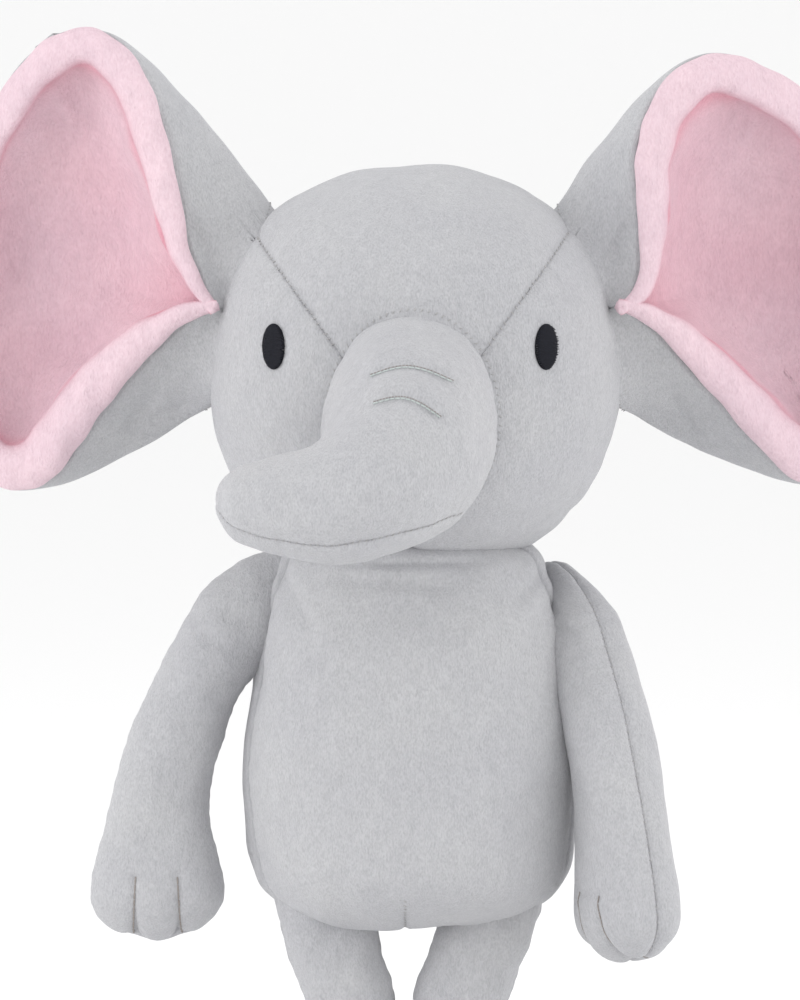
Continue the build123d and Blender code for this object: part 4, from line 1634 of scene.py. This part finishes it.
@dataclass
class Arm(Limb):
    """An arm that hangs beside the body and ends in a paw with two toe lines.

    Attributes:
        turn: Degrees that the arm is turned to the front.
        shoulder: Where it is sewn to the body, on the left side, in millimetres.
        toe_gap: Distance of a toe line from the paw's middle.
        toe_top: Height of the toe lines' upper ends.
        toe_bottom: Height of their lower ends.
        paw_x: The paw's middle, on the left side.
        splay: How much further out the paw hangs.
        drop: How much lower it hangs.
        slump: How much lower the top of the shoulder lies.
        folds: Creases: start, end, width and depth of each.
    """

    turn: float = 0.0
    shoulder: Triple = (60.0, 0.0, 222.0)
    toe_gap: float = 8.6
    toe_top: float = 122.0
    toe_bottom: float = 97.0
    paw_x: float = 96.5
    splay: float = 0.0
    drop: float = 0.0
    slump: float = 0.0
    folds: tuple[tuple[Sequence[float], Sequence[float], float, float], ...] = ()

    def _tube(self) -> StuffedTube:
        """The arm as it hangs straight beside the body, on the left."""
        return StuffedTube(
            stations=(
                Station((31, 0, 239.5), (1, 0, -0.3), 9.5, 4),
                Station((42, 0, 236), (0.85, 0, -0.5), 12.5, 7),
                Station((51, 0, 230.5), (0.76, 0, -0.66), 16.5, 10),
                Station((61, 0, 222.5), (0.68, 0, -0.73), 18.5, 13.5),
                Station((74, 0, 206), (0.56, 0, -0.83), 17.5, 16),
                Station((85.5, 0, 184.5), (0.4, 0, -0.92), 17.8, 16.5),
                Station((93, 0, 162), (0.2, 0, -0.98), 18.4, 16.6),
                Station((96, 0, 143), (0.07, 0, -1), 20.5, 16.8),
                Station((96.6, 0, 125), (0, 0, -1), 24.8, 17.6),
                Station((96.8, 0, 111), (0, 0, -1), 26.2, 18),
                Station((96.8, 0, 95.5), (0, 0, -1), 25.6, 17.6),
            ),
            first_axis=SIDEWAYS,
            root_cap=0.07,
            tip_cap=0.115,
            squareness=2.15,
        )

    def _toe_furrows(self, grid: Points) -> Points:
        """The two creases between the toes, deepest at the paw's lower edge."""
        x, y, z = grid[..., 0], grid[..., 1], grid[..., 2]
        front = 1 - fade(y, -4, 6)
        down = 1 - fade(z, self.toe_top - 10, self.toe_top + 1)
        depth = np.zeros(grid.shape[:2])
        left, right = ((self.paw_x + way * (self.toe_gap + 0.5), 0, self.toe_top) for way in (-1, 1))
        depth += 0.9 * front * crease(grid * (1, 0, 1), left, right, 1.8)
        for way in (-1, 1):
            away = x - (self.paw_x + way * self.toe_gap)
            sharp = np.exp(-np.abs(away / 1.5) ** 1.4)
            broad = np.exp(-((away / 4.2) ** 2))
            low = 1 - fade(z, self.toe_bottom - 4, self.toe_bottom + 12)
            depth += front * (down * (1.1 * sharp + 0.9 * broad) + low * (1.8 * broad + 1.2 * sharp))
            top = np.hypot(away, z - self.toe_top)
            depth += 1.2 * front * np.exp(-((top / 2.6) ** 2))
        return depth

    def _settle(self, points: Points) -> Points:
        """Turn the straight left arm to the front, or mirror it to the other side."""
        shoulder = np.asarray(self.shoulder)
        angle = math.radians(self.turn)
        place = points - shoulder
        x = place[..., 0] * math.cos(angle) - place[..., 1] * math.sin(angle)
        y = place[..., 0] * math.sin(angle) + place[..., 1] * math.cos(angle)
        down = np.clip(-place[..., 2] / (self.shoulder[2] - self.toe_bottom), 0, 1.05)
        lower = self.drop * down + self.slump * fade(place[..., 2], -8, 18)
        settled = np.stack([x + self.splay * down, y, place[..., 2] - lower], axis=-1) + shoulder
        return settled * np.array((self.side.value, 1, 1))

    def build(self) -> None:
        """Make the arm's pieces."""
        grid = self._tube().rings(230, 240)
        faces = outwards(grid)
        depth = self.side_furrows(grid, Sewing(depth=1.2, width=1.6, pucker=0.25)) + self._toe_furrows(grid)
        for start, end, width, deep in self.folds:
            depth += deep * crease(grid, start, end, width)
        swell = 0.6 * lumps(grid, size=38, seed=self.seed) + 0.2 * lumps(grid, size=15, seed=self.seed + 1)
        grid = grid + faces * (swell - depth)[..., None]
        straight = Skin(grid)
        toe_runs = self._toe_lines(straight)
        seam_runs = self._seam_runs(grid)
        word = self.side.word
        first, second = (self._settle(half) for half in self.half_panels(grid))
        front_is_first = self.half_panels(grid)[0][..., 1].mean() < 0
        front, back = (first, second) if front_is_first else (second, first)
        for name, half, nodes in (
            ("front", front, (f"arm_{word}_front_panel", f"arm_{word}_stuffing")),
            ("back", back, (f"arm_{word}_back_panel",)),
        ):
            skin = Skin(self._facing_out(half, grid), wrap=False)
            self._hang(padded(f"arm_{word}_{name}_skin", skin, nodes))
        toe_runs = [self._settle(run) for run in toe_runs]
        seam_runs = [self._settle(run) for run in seam_runs]
        nodes = (f"arm_{word}_toe_stitches",)
        self._hang(threads(f"arm_{word}_toe_embroidery", toe_runs, 0.34, Finish.GREY_THREAD, nodes))
        self._hang(threads(f"arm_{word}_seam_stitches", seam_runs, 0.22, Finish.SEAM_THREAD))

    def _facing_out(self, half: Points, whole: Points) -> Points:
        """The panel with its rows in the order that makes its faces look out."""
        settled = self._settle(whole)
        middle = settled.mean(1, keepdims=True)
        out = ((half - middle) * facing(half, False)).sum(-1).mean()
        return half if out > 0 else half[::-1]

    def _toe_lines(self, skin: Skin) -> list[Points]:
        """The toe lines as short stitches end to end down the front of the paw."""
        runs = []
        for way in (-1, 1):
            x = self.paw_x + way * self.toe_gap
            z = np.linspace(self.toe_top, self.toe_bottom + 0.5, 60)
            hint = np.column_stack([np.full(60, x) - way * 0.06 * (z - 110), np.full(60, -60.0), z])
            path, _ = skin.onto(hint, TO_BACK, lift=0.15)
            runs += [path[i : i + 8] for i in range(0, 53, 7)]
        return runs

    def _seam_runs(self, grid: Points) -> list[Points]:
        """Stitches along the outer side seam."""
        runs = []
        outward = outwards(grid)
        for column in (0, grid.shape[1] // 2):
            rows = slice(50, -20)
            path, normals, seed = grid[rows, column], outward[rows, column], self.seed + column
            runs += stitches(path, normals, pitch=2.8, length=1.6, slant=0.3, seed=seed)
        return runs

    def _hang(self, piece: Piece) -> None:
        """Bake an arm piece's transform into its mesh."""
        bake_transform(piece)


@dataclass
class Leg(Limb):
    """A leg that ends in a round foot with a flat sole.

    Attributes:
        foot_x: How far to the side the foot stands.
        toe_gap: Distance of a toe line from the foot's middle.
        lean: How much nearer to the other leg its shank stands.
    """

    foot_x: float = 31.0
    toe_gap: float = 8.6
    lean: float = 0.0

    def _tube(self) -> StuffedTube:
        """The left leg, from inside the body down to the foot."""
        return StuffedTube(
            stations=(
                Station((34, 0, 124), (0, 0, -1), 18, 18),
                Station((32.5, 0, 108), (-0.15, 0, -1), 19, 19),
                Station((29.5, 0, 96), (-0.28, 0, -1), 18.8, 18.5),
                Station((25, 0, 82), (-0.3, 0, -1), 18.0, 18.5),
                Station((21.8, -0.5, 68), (-0.12, -0.03, -1), 17.4, 18.6),
                Station((21.4, -1.2, 55), (0.08, -0.06, -1), 17.4, 19.2),
                Station((23.2, -2.5, 42), (0.2, -0.12, -1), 18.8, 21.5),
                Station((27.5, -5, 28), (0.2, -0.15, -1), 22.4, 25.5),
                Station((30.6, -7.4, 16), (0.06, -0.08, -1), 24.8, 30),
                Station((31, -8, 8), (0, 0, -1), 25.4, 31),
                Station((31, -8, 1.2), (0, 0, -1), 24.2, 29.8),
            ),
            first_axis=SIDEWAYS,
            root_cap=0.06,
            tip_cap=0.004,
            squareness=2.1,
        )

    def build(self) -> None:
        """Make the leg's pieces."""
        grid = self._tube().rings(210, 220)
        faces = outwards(grid)
        x, y, z = grid[..., 0], grid[..., 1], grid[..., 2]
        depth = self.side_furrows(grid, Sewing(depth=1.2, width=1.6, pucker=0.25)) * fade(z, 3, 8)
        front = 1 - fade(y, -12, -4)
        for way in (-1, 1):
            away = x - (self.foot_x + way * self.toe_gap)
            down = (1 - fade(z, 16, 24)) * fade(z, 1, 4)
            sharp, broad = np.exp(-np.abs(away / 1.5) ** 1.4), np.exp(-((away / 4.2) ** 2))
            depth += front * down * (0.8 * sharp + 1.4 * broad)
        depth += 1.2 * np.exp(-(((z - 4.0) / 1.6) ** 2)) * fade(z, 0.5, 2.5)
        swell = 0.7 * lumps(grid, size=30, seed=self.seed)
        swell = (swell + 0.3 * lumps(grid, size=13, seed=self.seed + 1)) * fade(z, 2, 9)
        grid = grid + faces * (swell - depth)[..., None]
        grid[..., 2] = np.maximum(grid[..., 2], 0.9)
        grid[..., 0] -= self.lean * fade(z, 26, 68) * (1 - 0.6 * fade(z, 84, 112))
        whole = Skin(grid)
        toe_runs = []
        for way in (-1, 1):
            height = np.linspace(22.0, 5.0, 46)
            column = np.full(46, self.foot_x + way * self.toe_gap)
            hint = np.column_stack([column, np.full(46, -80.0), height])
            path, _ = whole.onto(hint, TO_BACK, lift=0.15)
            toe_runs += [path[i : i + 8] for i in range(0, 39, 7)]
        mirror = np.array((self.side.value, 1, 1))
        word = self.side.word
        first, second = self.half_panels(grid)
        front, back = (first, second) if first[..., 1].mean() < second[..., 1].mean() else (second, first)
        for name, half, nodes in (
            ("front", front, (f"leg_{word}_front_panel", f"leg_{word}_stuffing")),
            ("back", back, (f"leg_{word}_back_panel",)),
        ):
            half = half * mirror
            middle = (grid * mirror).mean(1, keepdims=True)
            if ((half - middle) * facing(half, False)).sum(-1).mean() < 0:
                half = half[::-1]
            self._hang(padded(f"leg_{word}_{name}_skin", Skin(half, wrap=False), nodes))
        toe_runs = [run * mirror for run in toe_runs]
        nodes = (f"leg_{word}_toe_stitches",)
        self._hang(threads(f"leg_{word}_toe_embroidery", toe_runs, 0.38, Finish.GREY_THREAD, nodes))
        self._sole(mirror)

    def _sole(self, mirror: Points) -> None:
        """The flat sole, a rounded oval of plush."""
        rings = np.array([
            (0.0, 2.2), (0.55, 2.4), (0.9, 2.6), (0.985, 2.2), (1.0, 1.4),
            (0.975, 0.5), (0.9, 0.05), (0.5, 0.0), (0.0, 0.0),
        ])
        turns = np.arange(160) * FULL_TURN / 160
        places = np.linspace(0, len(rings) - 1, 65)
        steps = np.interp(places, np.arange(len(rings)), 25.2 * rings[:, 0])
        heights = np.interp(places, np.arange(len(rings)), rings[:, 1])
        grid = np.empty((65, 160, 3))
        grid[..., 0] = self.foot_x + np.outer(steps, np.cos(turns))
        grid[..., 1] = -8 + 1.225 * np.outer(steps, np.sin(turns))
        grid[..., 2] = heights[:, None]
        leg = f"leg_{self.side.word}"
        piece = padded(f"{leg}_sole_skin", Skin(grid * mirror), (f"{leg}_sole",), cloth=0.4)
        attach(piece, leg)

    def _hang(self, piece: Piece) -> None:
        """Bake a leg piece's transform into its mesh."""
        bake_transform(piece)


@dataclass
class Tail:
    """A short stuffed tail.

    Attributes:
        seed: Picks its soft lumps.
    """

    seed: int = 90

    def build(self) -> None:
        """Make the tail."""
        tube = StuffedTube(
            stations=(
                Station((0, 44, 133), (0, 1, -0.2), 5, 5),
                Station((0, 52, 130.5), (0, 1, -0.45), 4.6, 4.6),
                Station((0, 60, 125), (0, 0.6, -0.9), 4.4, 4.4),
                Station((0, 64.5, 114), (0, 0.15, -1), 4.4, 4.4),
                Station((0, 65.5, 104), (0, 0, -1), 5.2, 5.2),
                Station((0, 65.5, 93), (0, 0, -1), 5.4, 5.4),
            ),
            first_axis=SIDEWAYS,
            root_cap=0.1,
            tip_cap=0.12,
        )
        grid = tube.rings(110, 72)
        depth = Limb.side_furrows(grid, Sewing(depth=0.5, width=0.9, pucker=0.1))
        tuft = 0.7 * np.exp(-(((grid[..., 2] - 107) / 1.6) ** 2))
        grid = grid + outwards(grid) * (0.3 * lumps(grid, size=9, seed=self.seed) - depth - tuft)[..., None]
        piece = padded("tail_skin", Skin(grid), ("tail",), cloth=1.0)
        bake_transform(piece)


@dataclass
class Studio:
    """A pale floor, soft lights and the camera.

    Attributes:
        target: What the camera looks at, in millimetres about the body's middle.
        distance: How far away it stands, in metres.
        elevation: How far above the horizon, in degrees.
        frame_height: Height of what it sees at the target, in metres.
    """

    target: Triple = (-4.2, 0.0, 264.1)
    distance: float = 3.0
    elevation: float = 3.0
    frame_height: float = 0.38

    def build(self) -> None:
        """Set the studio up."""
        self._floor()
        self._lights()
        self._camera()

    def _floor(self) -> None:
        """A round floor that sweeps up at its edge."""
        flat, bend, steps = 7.0, 1.5, 96
        quarter = np.linspace(0, math.pi / 2, 25)
        side = [(flat + bend * math.sin(a), bend * (1 - math.cos(a))) for a in quarter]
        turns = np.arange(steps) * FULL_TURN / steps
        corners = [(r * math.cos(t), r * math.sin(t), z) for r, z in side for t in turns]
        faces: list[tuple[int, ...]] = [tuple(range(steps))]
        for i in range(len(side) - 1):
            ring = [(i * steps + j, i * steps + (j + 1) % steps) for j in range(steps)]
            faces += [(b, a, a + steps, b + steps) for a, b in ring]
        mesh = bpy.data.meshes.new("studio_floor")
        mesh.from_pydata(corners, [], faces)
        mesh.polygons.foreach_set("use_smooth", [False] + [True] * (len(mesh.polygons) - 1))
        floor = bpy.data.objects.new("studio_floor", mesh)
        bpy.context.scene.collection.objects.link(floor)
        paper = NodeTree("studio_paper")
        paper.shader.inputs["Base Color"].default_value = (0.96, 0.96, 0.96, 1)
        paper.shader.inputs["Roughness"].default_value = 0.9
        mesh.materials.append(paper.material)

    def _lights(self) -> None:
        """A bright pale room with a large soft light above in front and a weaker one at each side."""
        world = bpy.data.worlds.new("studio")
        world.use_nodes = True
        sky = world.node_tree.nodes["Background"]
        sky.inputs["Color"].default_value = (1, 1, 1, 1)
        sky.inputs["Strength"].default_value = 0.98
        bpy.context.scene.world = world
        for name, place, size, power in (
            ("key", (-1.9, -0.9, 0.8), 1.4, 16),
            ("fill", (1.9, -0.7, 0.5), 1.6, 14),
            ("top", (0.0, 0.1, 2.2), 1.8, 7),
        ):
            light = bpy.data.lights.new(name, "AREA")
            light.size = size
            light.energy = power
            lamp = bpy.data.objects.new(name, light)
            bpy.context.scene.collection.objects.link(lamp)
            lamp.location = place
            aim = Vector((0, MIDDLE_Y, 0.26)) - Vector(place)
            lamp.rotation_euler = aim.to_track_quat("-Z", "Y").to_euler()
        bpy.context.scene.view_settings.view_transform = "Standard"

    def _camera(self) -> None:
        """The camera, far away with a long lens."""
        data = bpy.data.cameras.new("camera")
        camera = bpy.data.objects.new("camera", data)
        bpy.context.scene.collection.objects.link(camera)
        tilt = math.radians(self.elevation)
        target = Vector(in_frame(self.target))
        back = Vector((0, -math.cos(tilt), math.sin(tilt)))
        camera.location = target + self.distance * back
        camera.rotation_euler = back.to_track_quat("Z", "Y").to_euler()
        data.lens = data.sensor_width * self.distance / self.frame_height
        data.clip_end = 50
        bpy.context.scene.camera = camera


def main() -> None:
    """Build the elephant, piece by piece."""
    logging.basicConfig(level=logging.INFO, format="%(name)s: %(message)s")
    Studio().build()
    head = Head()
    head.build()
    Trunk().build(head)
    Ear(
        side=Side.LEFT,
        rim=(
            (76.5, 338), (83.5, 345), (85.3, 360), (84.6, 376), (83.4, 393), (87, 410),
            (97, 426), (112, 434), (132, 430.5), (152, 418), (169, 397), (180, 370),
            (184, 340), (181, 308), (172, 283), (160, 270.5), (147.5, 270.5), (132, 283),
            (119, 297.5), (105, 313.5), (90, 329.8), (76.5, 337.6),
        ),
        seed=50,
    ).build(head)
    Ear(
        side=Side.RIGHT,
        rim=(
            (72, 337.2), (77, 346), (82.5, 360), (85.5, 376), (89.5, 395), (95.5, 417),
            (105, 434.5), (117, 443), (130, 443.5), (144, 435), (157, 419), (170, 396),
            (180, 366), (184, 336), (181, 306), (173, 283), (163, 270.5), (150, 266.8),
            (136, 271.5), (122, 289.5), (109.4, 306), (95.4, 322), (80.5, 333.6), (72, 336.8),
        ),
        rim_widths=(4, 11, 13.5, 15, 14, 13.5, 14, 15, 16, 18, 18.5, 15, 4),
        seed=56,
    ).build(head)
    Torso().build()
    NeckRoll().build()
    Arm(
        side=Side.LEFT,
        seed=100,
        turn=-64,
        splay=6.0,
        drop=5.0,
        slump=6.0,
        folds=(
            ((60, -16, 232), (78, -14, 222), 3.0, 1.6),
            ((70, -16, 220), (92, -12, 214), 3.0, 1.4),
            ((66, 10, 222), (86, 14, 210), 3.6, 1.2),
        ),
    ).build()
    Arm(
        side=Side.RIGHT,
        seed=106,
        folds=(
            ((56, -10, 216), (74, -16, 222), 3.2, 1.3),
            ((62, -12, 205), (80, -15, 213), 3.4, 1.1),
            ((70, -13, 190), (84, -16, 197), 4.0, 0.8),
            ((80, -16, 158), (98, -18, 163), 5.0, 0.7),
        ),
    ).build()
    for side in Side:
        Leg(side=side, seed=112 + side.value, lean=3.8 if side is Side.LEFT else -0.6).build()
    Tail().build()


if __name__ == "__main__":
    main()
